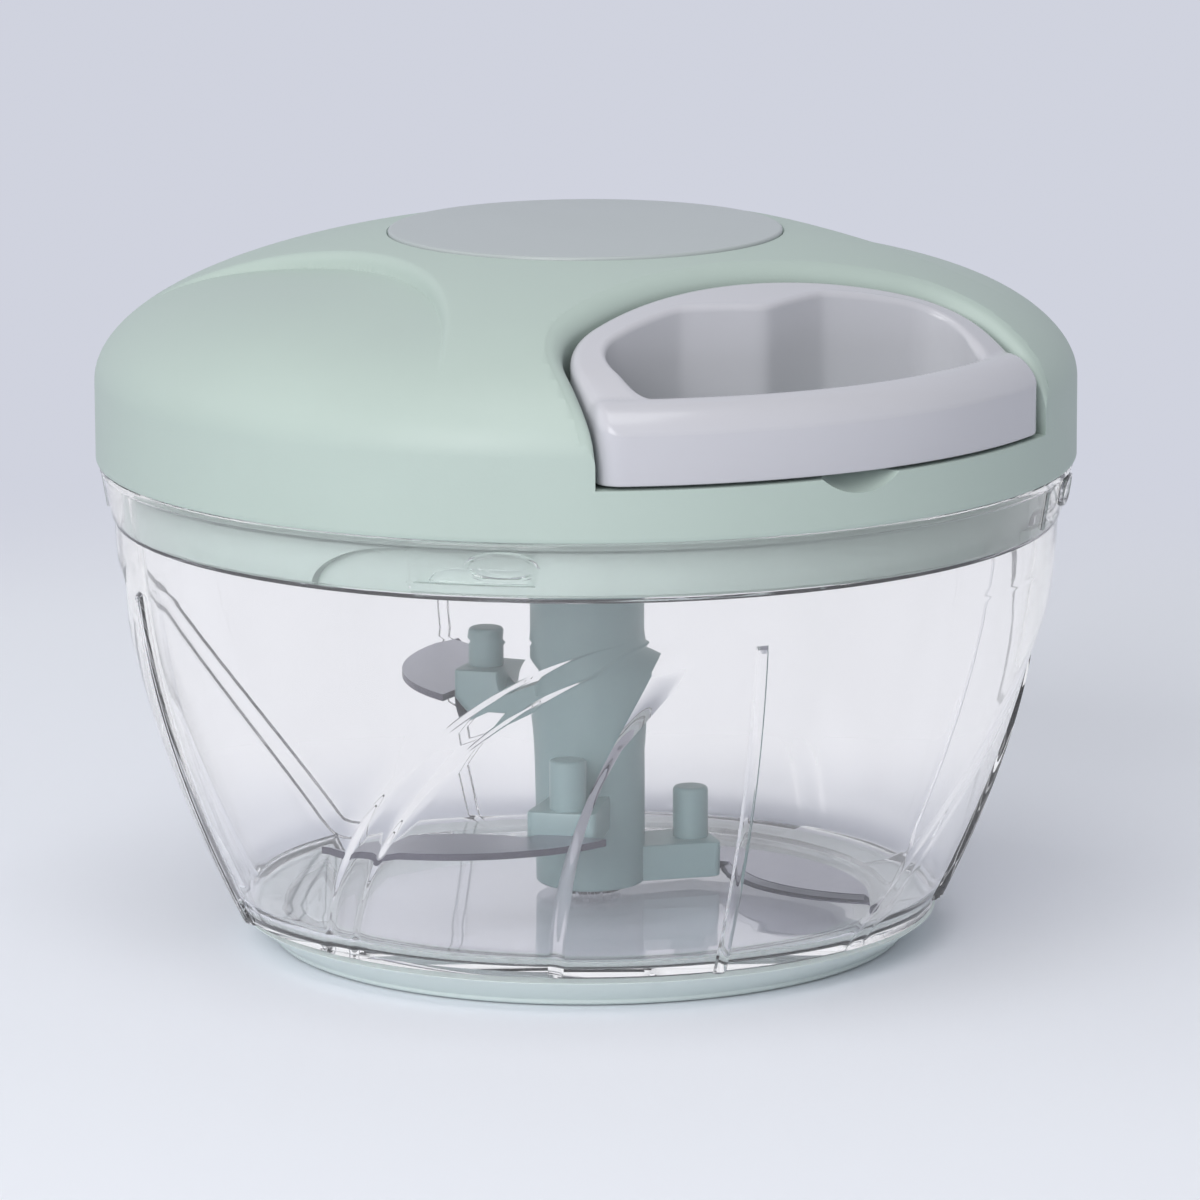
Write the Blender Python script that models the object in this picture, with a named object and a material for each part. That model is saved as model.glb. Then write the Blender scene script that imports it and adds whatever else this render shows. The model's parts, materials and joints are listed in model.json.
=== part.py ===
"""Pull-cord food chopper with a clear bowl, a domed lid, a cord reel and a three-blade holder.

Metres, +Z up, origin at the middle of the base's underside. The handle pulls out along -Y.
Azimuths are in degrees from -Y, growing towards +X. Profiles are lists of (radius, height).
"""

import math

import bmesh
import bpy
from mathutils import Matrix, Vector

MM = 0.001

# Clearances and facets
GAP = 0.3 * MM
SINK = 0.6 * MM
CUTTER_REACH = 8.0 * MM
SHELL_STEPS = 48
ROUND_STEPS = 28
PIN_STEPS = 16
WELD = 0.000001

# Bowl
BOWL_FOOT_RADIUS = 46.3 * MM
BOWL_SHOULDER_RADIUS = 60.7 * MM
BOWL_BULGE = 1.78
BOWL_WALL = 2.6 * MM
BOWL_FLOOR_UNDER = 3.4 * MM
BOWL_FLOOR_THICKNESS = 2.6 * MM
BOWL_CORNER_Z = 5.4 * MM
BOWL_FOOT_RING_RADIUS = 39.3 * MM
BOWL_FOOT_RING_WALL = 2.2 * MM
BOWL_FOOT_RING_Z = 1.5 * MM
COLLAR_Z = 56.2 * MM
COLLAR_HEIGHT = 6.7 * MM
COLLAR_INNER_STEP = 1.8 * MM
COLLAR_FLARE = 0.9 * MM
COLLAR_STEP = 0.5 * MM
RIM_BEAD = 0.45 * MM
RIM_BEAD_HEIGHT = 1.0 * MM
BOWL_ROWS = 7

# Leaf-shaped scoops and ribs of the bowl's wall
PATTERN_COUNT = 4
LEAF_LEFT_EDGE = ((-24.5, 50.5), (-48.2, 51.2), (-71.9, 16.5), (-81.3, 2.4))
LEAF_RIGHT_EDGE = ((-24.1, 50.3), (-26.5, 41.5), (-38.0, 26.0), (-38.9, 2.4))
LEAF_LEFT_DEPTH = 0.55 * MM
LEAF_RIGHT_DEPTH = 1.35 * MM
LEAF_ROWS = 8
LEAF_COLUMNS = 5
RIB_AZIMUTH = -12.8
RIB_WIDTH = 1.5 * MM
RIB_HEIGHT = 0.55 * MM
RIB_BELOW_COLLAR = 7.2 * MM
RIB_ROWS = 8

# Base ring
BASE_RING_FOOT_RADIUS = 39.8 * MM
BASE_RING_LIP = 1.2 * MM
BASE_RING_LIP_Z = 0.9 * MM
BASE_RING_INNER_RADIUS = 35.2 * MM

# Bayonet between lid and bowl
LUG_COUNT = 4
LUG_AZIMUTH = -46.8
LUG_HALF_ANGLE = 6.4
LUG_ABOVE_COLLAR_FOOT = 1.3 * MM
LUG_HEIGHT = 1.7 * MM
LUG_REACH = 1.3 * MM
LOCK_ANGLE = 14.0
SLOT_SPARE_ANGLE = 0.8
SLOT_HEIGHT = 4.2 * MM

# Lid cover
LID_OVERHANG = 2.3 * MM
LID_WALL = 2.0 * MM
LID_EDGE_ABOVE_RIM = 0.5 * MM
LID_SIDE_HEIGHT = 10.0 * MM
DOME_RISE = 20.4 * MM
DOME_EXPONENT = 1.91
DOME_WALL = 3.6 * MM
DOME_STEPS = 8
SKIRT_WALL = 2.6 * MM
SKIRT_BELOW_COLLAR = 0.2 * MM
WEB_THICKNESS = 1.6 * MM
SEAL_THICKNESS = 1.5 * MM
SEAL_WIDTH = 1.8 * MM

# Top disc
DISC_RADIUS = 25.0 * MM
DISC_THICKNESS = 1.3 * MM
DISC_TOP_ABOVE_LID_EDGE = 28.9 * MM
CEILING_THICKNESS = 2.4 * MM

# Finger grips of the dome
GRIP_FROM_DISC = 5.4 * MM
GRIP_RADIUS = 47.0 * MM
GRIP_DEPTH = 1.8 * MM
GRIP_FADE_WIDTH = 12.5 * MM
GRIP_FADE_FROM_SIDE = 6.5 * MM

# Pull handle and its recess
HANDLE_BACK = 32.3 * MM
HANDLE_BACK_BOW = 66.0 * MM
HANDLE_SIDE = 20.2 * MM
HANDLE_SIDE_SLOPE = 0.24
HANDLE_SET_BACK = 0.3 * MM
HANDLE_BACK_CORNER = 6.0 * MM
HANDLE_FRONT_CORNER = 2.5 * MM
HANDLE_BACK_WALL = 4.3 * MM
HANDLE_FRONT_WALL = 5.4 * MM
HOLE_BACK_BOW = 70.0 * MM
HOLE_SIDE = 32.2 * MM
HOLE_SIDE_SLOPE = -0.135
HOLE_BACK_CORNER = 5.0 * MM
HOLE_FRONT_CORNER = 3.0 * MM
HANDLE_ABOVE_LID_EDGE = 6.6 * MM
HANDLE_BELOW_DOME = 1.4 * MM
HANDLE_CREASE_HEIGHT = 8.2 * MM
HANDLE_BROW = 2.2 * MM
HANDLE_BROW_WIDTH = 6.7 * MM
HANDLE_EDGE = 0.9 * MM
HANDLE_HOLE_EDGE = 1.3 * MM
BACK_SHARES = (0.0, 0.06, 0.2, 0.36, 0.5, 0.75, 1.0)
KNOT_BUMP = 4.3 * MM
KNOT_BUMP_HALF_WIDTH = 10.8 * MM
KNOT_BUMP_ROUND = 1.2 * MM
RECESS_GAP = 0.9 * MM
RECESS_FLOOR_GAP = 0.4 * MM
RECESS_WALL = 2.0 * MM
RECESS_FLOOR = 2.4 * MM
RECESS_FLARE = 2.5 * MM
RECESS_PAST_LID = 6.0 * MM
THUMB_SCOOP_RADIUS = 9.0 * MM
THUMB_SCOOP_DEPTH = 2.2 * MM

# Cord
CORD_DIAMETER = 1.6 * MM
CORD_ABOVE_HANDLE_FOOT = 4.4 * MM
CORD_LOOPS = 3
CORD_PITCH = 2.05 * MM
KNOT_RADIUS = 2.2 * MM
KNOT_POCKET_RADIUS = 2.8 * MM
CORD_HOLE_RADIUS = 1.2 * MM
GUIDE_HOLE_RADIUS = 1.3 * MM
GUIDE_RADIUS = 2.6 * MM
GUIDE_FLANGE = 1.3 * MM
GUIDE_FLANGE_THICKNESS = 0.8 * MM

# Reel, spring and axle
AXLE_RADIUS = 2.0 * MM
AXLE_BELOW_PLATE = 1.6 * MM
AXLE_SOCKET_DEPTH = 3.2 * MM
AXLE_BOSS_RADIUS = 4.6 * MM
AXLE_BOSS_DEPTH = 4.0 * MM
DRUM_RADIUS = 14.6 * MM
DRUM_WIDTH = 4.4 * MM
FLANGE_RADIUS = 21.6 * MM
FLANGE_THICKNESS = 1.2 * MM
ARBOR_RADIUS = 4.4 * MM
SPRING_CUP_RADIUS = 21.4 * MM
SPRING_CUP_WALL = 1.2 * MM
SPRING_CUP_DEPTH = 8.2 * MM
SPRING_WIDTH = 4.6 * MM
SPRING_STRIP = 0.5 * MM
SPRING_TURNS = 5
SPRING_POINTS = 16

# Lid plate and screws
PLATE_ABOVE_COLLAR_FOOT = 3.8 * MM
PLATE_THICKNESS = 1.8 * MM
SCREW_AZIMUTHS = (60.0, 120.0, -60.0, -120.0)
SCREW_FROM_SIDE = 17.0 * MM
SCREW_RADIUS = 1.4 * MM
SCREW_HEAD_RADIUS = 2.8 * MM
SCREW_HEAD_HEIGHT = 1.5 * MM
SCREW_LENGTH = 9.0 * MM
POST_RADIUS = 3.4 * MM

# Drive hub, clutch and washer
HUB_SHAFT_RADIUS = 5.0 * MM
HUB_DISC_RADIUS = 13.4 * MM
HUB_DISC_THICKNESS = 1.4 * MM
HUB_RING_WALL = 1.6 * MM
HUB_RING_HEIGHT = 3.0 * MM
HUB_TEETH = 12
HUB_TOOTH_DEPTH = 1.5 * MM
WASHER_RADIUS = 7.0 * MM
WASHER_THICKNESS = 0.6 * MM
PAWL_THICKNESS = 2.0 * MM
PAWL_PIVOT_RADIUS = 1.1 * MM
PAWL_CIRCLE = 7.4 * MM
PAWL_NOSE_ANGLE = 54.0
DOG_CORE_RADIUS = 3.3 * MM
DOG_HALF_ANGLE = 25.0
DOG_DRIVE_GAP_ANGLE = 5.0
DOG_LENGTH = 5.0 * MM
DOG_STEPS = 4

# Blade holder and blades
PIVOT_RADIUS = 2.0 * MM
PIVOT_TOP_Z = 26.0 * MM
PIVOT_BOSS_RADIUS = 4.0 * MM
PIVOT_BOSS_HEIGHT = 2.2 * MM
HOLDER_RADIUS = 7.4 * MM
HOLDER_ABOVE_FLOOR = 1.0 * MM
HOLDER_BELOW_PLATE = 2.6 * MM
SOCKET_RADIUS = 5.6 * MM
SOCKET_DEPTH = 7.0 * MM
ARM_REACH = 16.9 * MM
ARM_WIDTH = 9.4 * MM
ARM_ABOVE_BLADE = 3.4 * MM
ARM_BELOW_BLADE = 1.2 * MM
PEG_RADIUS = 2.3 * MM
PEG_REACH = 14.0 * MM
BLADE_THICKNESS = 0.9 * MM
TANG_HALF_WIDTH = 3.2 * MM
TANG_START = 9.2 * MM
BLADE_TIP = (28.6 * MM, -27.8 * MM)
BLADE_HEEL = (17.6 * MM, 6.4 * MM)
BLADE_BACK_MIDDLE = (28.6 * MM, -7.0 * MM)
BLADE_EDGE_MIDDLE = (18.6 * MM, -17.4 * MM)
BLADE_BEVEL = 1.6 * MM
BLADE_EDGE_LEFT = 0.25 * MM
BLADE_STEPS = 8
LOWER_BLADE_Z = 8.4 * MM
MIDDLE_BLADE_Z = 16.2 * MM
UPPER_BLADE_Z = 31.0 * MM
LOWER_PEG_HEIGHT = 6.6 * MM
MIDDLE_PEG_HEIGHT = 6.6 * MM
UPPER_PEG_HEIGHT = 4.9 * MM
BLADES = {
    "lower": (LOWER_BLADE_Z, 73.5, LOWER_PEG_HEIGHT),
    "middle": (MIDDLE_BLADE_Z, -46.5, MIDDLE_PEG_HEIGHT),
    "upper": (UPPER_BLADE_Z, -143.5, UPPER_PEG_HEIGHT),
}

# Colours
SAGE = (0.43, 0.53, 0.48)
SAGE_DARK = (0.26, 0.36, 0.34)
GREY = (0.58, 0.57, 0.60)
DISC_GREY = (0.47, 0.49, 0.52)
CLEAR = (0.86, 0.87, 0.93)
WHITE = (0.78, 0.78, 0.76)
STEEL = (0.56, 0.55, 0.58)
BLACK = (0.05, 0.05, 0.05)

# Heights and radii that follow from the values above
FLOOR_Z = BOWL_FLOOR_UNDER + BOWL_FLOOR_THICKNESS
RIM_Z = COLLAR_Z + COLLAR_HEIGHT
RIB_TOP_Z = COLLAR_Z - RIB_BELOW_COLLAR
COLLAR_INNER_RADIUS = BOWL_SHOULDER_RADIUS - COLLAR_INNER_STEP
LUG_Z = COLLAR_Z + LUG_ABOVE_COLLAR_FOOT
LID_RADIUS = BOWL_SHOULDER_RADIUS + LID_OVERHANG
LID_EDGE_Z = RIM_Z + LID_EDGE_ABOVE_RIM
DISC_TOP_Z = LID_EDGE_Z + DISC_TOP_ABOVE_LID_EDGE
GRIP_CENTRE = DISC_RADIUS + GRIP_FROM_DISC + GRIP_RADIUS
GRIP_FADE_END = LID_RADIUS - GRIP_FADE_FROM_SIDE
GRIP_FADE_START = GRIP_FADE_END - GRIP_FADE_WIDTH
HANDLE_FRONT_RADIUS = LID_RADIUS - HANDLE_SET_BACK
HANDLE_UNDER_Z = LID_EDGE_Z + HANDLE_ABOVE_LID_EDGE
HANDLE_CREASE_Z = HANDLE_UNDER_Z + HANDLE_CREASE_HEIGHT
RECESS_FRONT_RADIUS = LID_RADIUS + RECESS_PAST_LID
CORD_Z = HANDLE_UNDER_Z + CORD_ABOVE_HANDLE_FOOT
PLATE_Z = COLLAR_Z + PLATE_ABOVE_COLLAR_FOOT
AXLE_BOTTOM_Z = PLATE_Z - AXLE_BELOW_PLATE
SCREW_CIRCLE = LID_RADIUS - SCREW_FROM_SIDE
HOLDER_BOTTOM_Z = FLOOR_Z + HOLDER_ABOVE_FLOOR
HOLDER_TOP_Z = PLATE_Z - HOLDER_BELOW_PLATE
SKIRT_RADIUS = COLLAR_INNER_RADIUS - GAP
SKIRT_INNER_RADIUS = SKIRT_RADIUS - SKIRT_WALL
SKIRT_Z = COLLAR_Z - SKIRT_BELOW_COLLAR
SEAL_Z = RIM_Z + GAP
GROOVE_Z = SEAL_Z + SEAL_THICKNESS + GAP
WEB_TOP_Z = GROOVE_Z + WEB_THICKNESS
LID_SIDE_TOP = LID_EDGE_Z + LID_SIDE_HEIGHT
CEILING_Z = DISC_TOP_Z - DISC_THICKNESS - GAP - CEILING_THICKNESS
RECESS_Z = HANDLE_UNDER_Z - RECESS_FLOOR_GAP
DRUM_Z = CORD_Z - DRUM_WIDTH / 2
REEL_BOTTOM_Z = DRUM_Z - FLANGE_THICKNESS
REEL_TOP_Z = DRUM_Z + DRUM_WIDTH + FLANGE_THICKNESS
SPRING_CUP_TOP_Z = CEILING_Z - GAP
SPRING_CUP_Z = SPRING_CUP_TOP_Z - SPRING_CUP_DEPTH
AXLE_TOP_Z = CEILING_Z - AXLE_BOSS_DEPTH + AXLE_SOCKET_DEPTH
ARBOR_TOP_Z = CEILING_Z - AXLE_BOSS_DEPTH - GAP
PLATE_TOP_Z = PLATE_Z + PLATE_THICKNESS
HUB_RING_TOP_Z = REEL_BOTTOM_Z - GAP
HUB_Z = HUB_RING_TOP_Z - HUB_RING_HEIGHT - HUB_DISC_THICKNESS
WASHER_Z = HUB_Z - GAP - WASHER_THICKNESS
BEARING_TOP_Z = WASHER_Z - GAP
SOCKET_Z = HOLDER_TOP_Z - SOCKET_DEPTH
DOG_TIP_RADIUS = SOCKET_RADIUS - GAP
DOG_BOTTOM_Z = HOLDER_TOP_Z - DOG_LENGTH


def direction(azimuth):
    """Unit vector in the XY plane for an azimuth in degrees."""
    angle = math.radians(azimuth)
    return Vector((math.sin(angle), -math.cos(angle), 0.0))


def turn_to(azimuth):
    """Rotation about Z that takes -Y to the azimuth."""
    return Matrix.Rotation(math.radians(azimuth), 4, "Z")


def bowl_radius(height):
    """Outer radius of the bowl's wall below the collar."""
    share = (height - BOWL_CORNER_Z) / (COLLAR_Z - BOWL_CORNER_Z)
    share = min(max(share, 0.0), 1.0)
    return BOWL_FOOT_RADIUS + (BOWL_SHOULDER_RADIUS - BOWL_FOOT_RADIUS) * (1 - (1 - share) ** BOWL_BULGE)


def dome_height(radius):
    """Height of the lid's outer dome over a radius."""
    share = min(radius / LID_RADIUS, 1.0)
    return LID_SIDE_TOP + DOME_RISE * math.sqrt(1 - share**DOME_EXPONENT)


def ceiling_height(radius):
    """Height of the lid's inner dome over a radius."""
    share = min(radius / (LID_RADIUS - LID_WALL), 1.0)
    height = LID_SIDE_TOP + (DOME_RISE - DOME_WALL) * math.sqrt(1 - share**DOME_EXPONENT)
    return min(height, CEILING_Z)


def clear_scene():
    for item in list(bpy.data.objects):
        bpy.data.objects.remove(item, do_unlink=True)


def finish(name, colour, roughness, metallic=0.0, transmission=0.0):
    """Material with one Principled shader."""
    material = bpy.data.materials.new(name)
    material.use_nodes = True
    shader = material.node_tree.nodes["Principled BSDF"]
    shader.inputs["Base Color"].default_value = (*colour, 1.0)
    shader.inputs["Roughness"].default_value = roughness
    shader.inputs["Metallic"].default_value = metallic
    shader.inputs["Transmission Weight"].default_value = transmission
    material.diffuse_color = (*colour, 1.0)
    return material


def axis_empty(name, parent=None):
    """Empty on the common Z axis that carries the pieces of one moving body."""
    empty = bpy.data.objects.new(name, None)
    empty.parent = parent
    bpy.context.scene.collection.objects.link(empty)
    return empty


def place(name, mesh, material=None, parent=None):
    """Object from a bmesh or from a mesh that another object shares. Without a material it is a cutter."""
    if isinstance(mesh, bmesh.types.BMesh):
        data = bpy.data.meshes.new(name)
        mesh.to_mesh(data)
        mesh.free()
    else:
        data = mesh
    piece = bpy.data.objects.new(name, data)
    piece.parent = parent
    bpy.context.scene.collection.objects.link(piece)
    if material is None:
        piece.hide_render = True
        piece.display_type = "WIRE"
    else:
        if not data.materials:
            data.materials.append(material)
        data.shade_smooth()
        data.set_sharp_from_angle(angle=math.radians(35))
    return piece


def boolean(piece, other, operation):
    modifier = piece.modifiers.new(other.name, "BOOLEAN")
    modifier.operation = operation
    modifier.object = other
    modifier.solver = "EXACT"


def cut(piece, cutter):
    boolean(piece, cutter, "DIFFERENCE")


def join(piece, other):
    boolean(piece, other, "UNION")


def trim_to(piece, other):
    boolean(piece, other, "INTERSECT")


def turned(profile, steps=ROUND_STEPS, start=0.0, sweep=360.0):
    """Solid made by turning a section. A section that ends on the axis is left open there."""
    mesh = bmesh.new()
    on_axis = profile[0][0] == 0 and profile[-1][0] == 0
    first = direction(start)
    points = [mesh.verts.new(first * radius + Vector((0, 0, height))) for radius, height in profile]
    pairs = list(zip(points, points[1:]))
    if not on_axis:
        pairs.append((points[-1], points[0]))
    edges = [mesh.edges.new(pair) for pair in pairs]
    whole = sweep == 360.0
    last = bmesh.ops.spin(
        mesh,
        geom=points + edges,
        cent=(0, 0, 0),
        axis=(0, 0, 1),
        angle=math.radians(sweep),
        steps=steps,
        use_merge=whole,
    )
    if not whole:
        mesh.faces.new(points)
        mesh.faces.new([item for item in last["geom_last"] if isinstance(item, bmesh.types.BMVert)])
    bmesh.ops.remove_doubles(mesh, verts=mesh.verts, dist=WELD)
    bmesh.ops.recalc_face_normals(mesh, faces=mesh.faces)
    return mesh


def lofted(rings, closed=False):
    """Solid through rings of points, capped at both ends, or joined end to end where closed is set."""
    mesh = bmesh.new()
    made = [[mesh.verts.new(point) for point in ring] for ring in rings]
    pairs = list(zip(made, made[1:]))
    if closed:
        pairs.append((made[-1], made[0]))
    for lower, upper in pairs:
        for index, corner in enumerate(lower):
            after = (index + 1) % len(lower)
            mesh.faces.new((corner, lower[after], upper[after], upper[index]))
    if not closed:
        mesh.faces.new(list(reversed(made[0])))
        mesh.faces.new(made[-1])
    bmesh.ops.remove_doubles(mesh, verts=mesh.verts, dist=WELD)
    bmesh.ops.recalc_face_normals(mesh, faces=mesh.faces)
    return mesh


def prism(outline, bottom, top):
    """Upright solid over an outline of (x, y) points."""
    return lofted([[Vector((x, y, height)) for x, y in outline] for height in (bottom, top)])


def disc(radius, bottom, top, steps=PIN_STEPS):
    """Upright cylinder on the Z axis."""
    return turned([(0, bottom), (radius, bottom), (radius, top), (0, top)], steps)


def arc_through(start, middle, end, steps):
    """Points on the circle through three plan points, without the start."""
    first, second, third = Vector(start), Vector(middle), Vector(end)
    a, b = second - first, third - first
    scale = 2 * (a.x * b.y - a.y * b.x)
    centre = first + Vector(
        (b.y * a.length_squared - a.y * b.length_squared, a.x * b.length_squared - b.x * a.length_squared)
    ) / scale
    spoke = first - centre
    turn = spoke.angle_signed(third - centre)
    middle_turn = spoke.angle_signed(second - centre)
    if turn * middle_turn < 0:
        turn -= math.copysign(2 * math.pi, turn)
    points = []
    for step in range(1, steps + 1):
        share = -turn * step / steps
        rotated = Matrix.Rotation(share, 2) @ spoke
        points.append(tuple(centre + rotated))
    return points


def plan_outline(back, bow, side, slope, front_radius, back_corner, front_corner, bump=0.0):
    """Clockwise plan outline: a bowed back, two straight sides and a front on a circle round the lid's axis.

    The side lies at x = side + slope * distance. The bump stands out from the middle of the back.
    """

    def back_y(x):
        return -(back + bow) + math.sqrt(bow**2 - x**2)

    end = side + slope * back - back_corner
    drop = end / math.sqrt(bow**2 - end**2)
    control_y = back_y(end) - drop * back_corner
    control = (side - slope * control_y, control_y)
    side_y = control_y - back_corner
    squared = 1 + slope**2
    front = (-side * slope + math.sqrt((side * slope) ** 2 + squared * (front_radius**2 - side**2))) / squared
    corner = (side + slope * front, -front)
    along = (Vector(corner) - Vector(control)).normalized()
    front_angle = math.degrees(math.atan2(corner[0], -corner[1]) - front_corner / front_radius)

    right = []
    for share in BACK_SHARES[:-1]:
        x = end * share
        lean = bump * max(0.0, 1 - math.hypot(x, KNOT_BUMP_ROUND) / KNOT_BUMP_HALF_WIDTH)
        right.append((x, back_y(x) - lean))
    right += bezier((end, back_y(end)), control, (side - slope * side_y, side_y), 4)
    before_corner = Vector(corner) - along * front_corner
    right += bezier(before_corner, corner, (direction(front_angle) * front_radius).to_2d(), 3)
    for step in range(1, 5):
        point = direction(front_angle * (1 - step / 4)) * front_radius
        right.append((point.x, point.y))
    return right + [(-x, y) for x, y in reversed(right[1:-1])]


def handle_outline(front_radius):
    """Outer outline of the handle, or of its recess when the front is set outside the lid."""
    corner = HANDLE_FRONT_CORNER
    return plan_outline(
        HANDLE_BACK, HANDLE_BACK_BOW, HANDLE_SIDE, HANDLE_SIDE_SLOPE, front_radius, HANDLE_BACK_CORNER, corner
    )


def grown(outline, distance):
    """Clockwise outline moved outwards by a distance."""
    moved = []
    for index, (x, y) in enumerate(outline):
        after = Vector(outline[(index + 1) % len(outline)])
        along = (after - Vector(outline[index - 1])).normalized()
        moved.append((x - along.y * distance, y + along.x * distance))
    return moved


def bezier(start, control, end, steps):
    """Points of a rounded corner, with both ends."""
    start, control, end = Vector(start), Vector(control), Vector(end)
    points = []
    for step in range(steps + 1):
        share = step / steps
        point = start * (1 - share) ** 2 + control * (2 * share * (1 - share)) + end * share**2
        points.append((point.x, point.y))
    return points


def wall_points(azimuth, height, inset):
    radius = bowl_radius(height) - inset
    return direction(azimuth) * radius + Vector((0, 0, height))


def edge_point(edge, share):
    """Azimuth and height on a cubic curve through an edge's four control points."""
    rest = 1 - share
    weights = (rest**3, 3 * rest**2 * share, 3 * rest * share**2, share**3)
    azimuth = sum(weight * point[0] for weight, point in zip(weights, edge))
    height = sum(weight * point[1] for weight, point in zip(weights, edge))
    return azimuth, height * MM


def leaf_cutter():
    """Scoop in the bowl's wall: a leaf whose two edges meet at the apex and sweep apart to the foot."""
    rings = []
    outside = -3 * MM
    for row in range(LEAF_ROWS + 1):
        share = row / LEAF_ROWS
        left, left_z = edge_point(LEAF_LEFT_EDGE, share)
        right, right_z = edge_point(LEAF_RIGHT_EDGE, share)
        near = []
        far = []
        for column in range(LEAF_COLUMNS + 1):
            across = column / LEAF_COLUMNS
            azimuth = left + (right - left) * across
            height = left_z + (right_z - left_z) * across
            inset = LEAF_LEFT_DEPTH + (LEAF_RIGHT_DEPTH - LEAF_LEFT_DEPTH) * across**2
            near.append(wall_points(azimuth, height, inset * min(1.0, share * 4 + 0.2)))
            far.append(wall_points(azimuth, height, outside))
        rings.append(near + far[::-1])
    return lofted(rings)


def rib_solid():
    """Thin upright rib on the bowl's wall, half round outside and sunk into the wall inside."""
    rings = []
    bottom = BOWL_CORNER_Z + 0.6 * MM
    for row in range(RIB_ROWS + 1):
        height = bottom + (RIB_TOP_Z - bottom) * row / RIB_ROWS
        proud = RIB_HEIGHT
        if row == RIB_ROWS:
            proud = 0.1 * MM
        centre = direction(RIB_AZIMUTH) * bowl_radius(height) + Vector((0, 0, height))
        out = direction(RIB_AZIMUTH)
        side = direction(RIB_AZIMUTH + 90)
        half = RIB_WIDTH / 2
        section = ((-half, -SINK), (-half, proud * 0.2), (-half * 0.5, proud), (half * 0.5, proud))
        section += ((half, proud * 0.2), (half, -SINK))
        rings.append([centre + side * across + out * along for across, along in section])
    return lofted(rings)


def build_bowl(parent, clear, steel, green):
    wall_rows = [BOWL_CORNER_Z + (COLLAR_Z - 0.3 * MM - BOWL_CORNER_Z) * row / BOWL_ROWS for row in range(BOWL_ROWS + 1)]
    outside = [(bowl_radius(height), height) for height in wall_rows]
    inside = [(bowl_radius(height) - BOWL_WALL, height) for height in reversed(wall_rows[1:-1])]
    collar_radius = BOWL_SHOULDER_RADIUS + COLLAR_STEP
    foot_inner = BOWL_FOOT_RING_RADIUS - BOWL_FOOT_RING_WALL
    boss_top = FLOOR_Z + PIVOT_BOSS_HEIGHT
    section = [(0, BOWL_FLOOR_UNDER), (foot_inner, BOWL_FLOOR_UNDER), (foot_inner, BOWL_FOOT_RING_Z)]
    section += [(BOWL_FOOT_RING_RADIUS, BOWL_FOOT_RING_Z), (BOWL_FOOT_RING_RADIUS, BOWL_FLOOR_UNDER + 0.9 * MM)]
    section += [(BOWL_FOOT_RADIUS - 0.9 * MM, BOWL_CORNER_Z - 0.7 * MM)]
    section += outside
    section += [(collar_radius, COLLAR_Z + 0.1 * MM)]
    section += [(collar_radius + COLLAR_FLARE, RIM_Z - RIM_BEAD_HEIGHT)]
    section += [(collar_radius + COLLAR_FLARE + RIM_BEAD, RIM_Z - RIM_BEAD_HEIGHT + 0.2 * MM)]
    section += [(collar_radius + COLLAR_FLARE + RIM_BEAD, RIM_Z - 0.2 * MM)]
    section += [(collar_radius + COLLAR_FLARE + RIM_BEAD - 0.2 * MM, RIM_Z), (COLLAR_INNER_RADIUS, RIM_Z)]
    section += [(COLLAR_INNER_RADIUS, COLLAR_Z - 0.6 * MM)]
    section += inside
    floor_corner = bowl_radius(FLOOR_Z + 4 * MM) - BOWL_WALL
    section += [(floor_corner - 0.2 * MM, FLOOR_Z + 3.2 * MM), (floor_corner - 1.4 * MM, FLOOR_Z + 1.2 * MM)]
    section += [(floor_corner - 3.6 * MM, FLOOR_Z), (PIVOT_BOSS_RADIUS, FLOOR_Z)]
    section += [(PIVOT_BOSS_RADIUS, boss_top), (PIVOT_RADIUS + GAP, boss_top)]
    section += [(PIVOT_RADIUS + GAP, BOWL_FLOOR_UNDER + 0.8 * MM), (0, BOWL_FLOOR_UNDER + 0.8 * MM)]
    bowl = place("bowl", turned(section, SHELL_STEPS), clear, parent)

    scoop = place("leaf_cutter_1", leaf_cutter())
    rib = place("rib_1", rib_solid())
    lug_section = [
        (COLLAR_INNER_RADIUS - LUG_REACH, LUG_Z),
        (COLLAR_INNER_RADIUS + SINK, LUG_Z),
        (COLLAR_INNER_RADIUS + SINK, LUG_Z + LUG_HEIGHT),
        (COLLAR_INNER_RADIUS - LUG_REACH, LUG_Z + LUG_HEIGHT),
    ]
    lug = place("lug_1", turned(lug_section, 4, LUG_AZIMUTH - LUG_HALF_ANGLE, 2 * LUG_HALF_ANGLE))
    repeat(scoop, PATTERN_COUNT, bowl, cut)
    repeat(rib, PATTERN_COUNT, bowl, join)
    repeat(lug, LUG_COUNT, bowl, join)

    foot_gap = BOWL_FOOT_RING_RADIUS + GAP
    ring_top = BOWL_FLOOR_UNDER + 0.9 * MM - GAP
    section = [
        (BASE_RING_INNER_RADIUS, 0),
        (BASE_RING_FOOT_RADIUS, 0),
        (BASE_RING_FOOT_RADIUS + BASE_RING_LIP, BASE_RING_LIP_Z * 0.5),
        (BASE_RING_FOOT_RADIUS + BASE_RING_LIP, BASE_RING_LIP_Z),
        (BOWL_FOOT_RADIUS - 1.1 * MM, ring_top),
        (foot_gap, ring_top - 0.2 * MM),
        (foot_gap, BOWL_FOOT_RING_Z - GAP),
        (foot_inner - GAP, BOWL_FOOT_RING_Z - GAP),
        (foot_inner - GAP, BOWL_FLOOR_UNDER - GAP),
        (BASE_RING_INNER_RADIUS, BOWL_FLOOR_UNDER - GAP),
    ]
    place("base_ring", turned(section, SHELL_STEPS), green, parent)
    pin_bottom = BOWL_FLOOR_UNDER + 0.8 * MM + GAP
    place("pivot_pin", pin(PIVOT_RADIUS, pin_bottom, PIVOT_TOP_Z), steel, parent)


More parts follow.
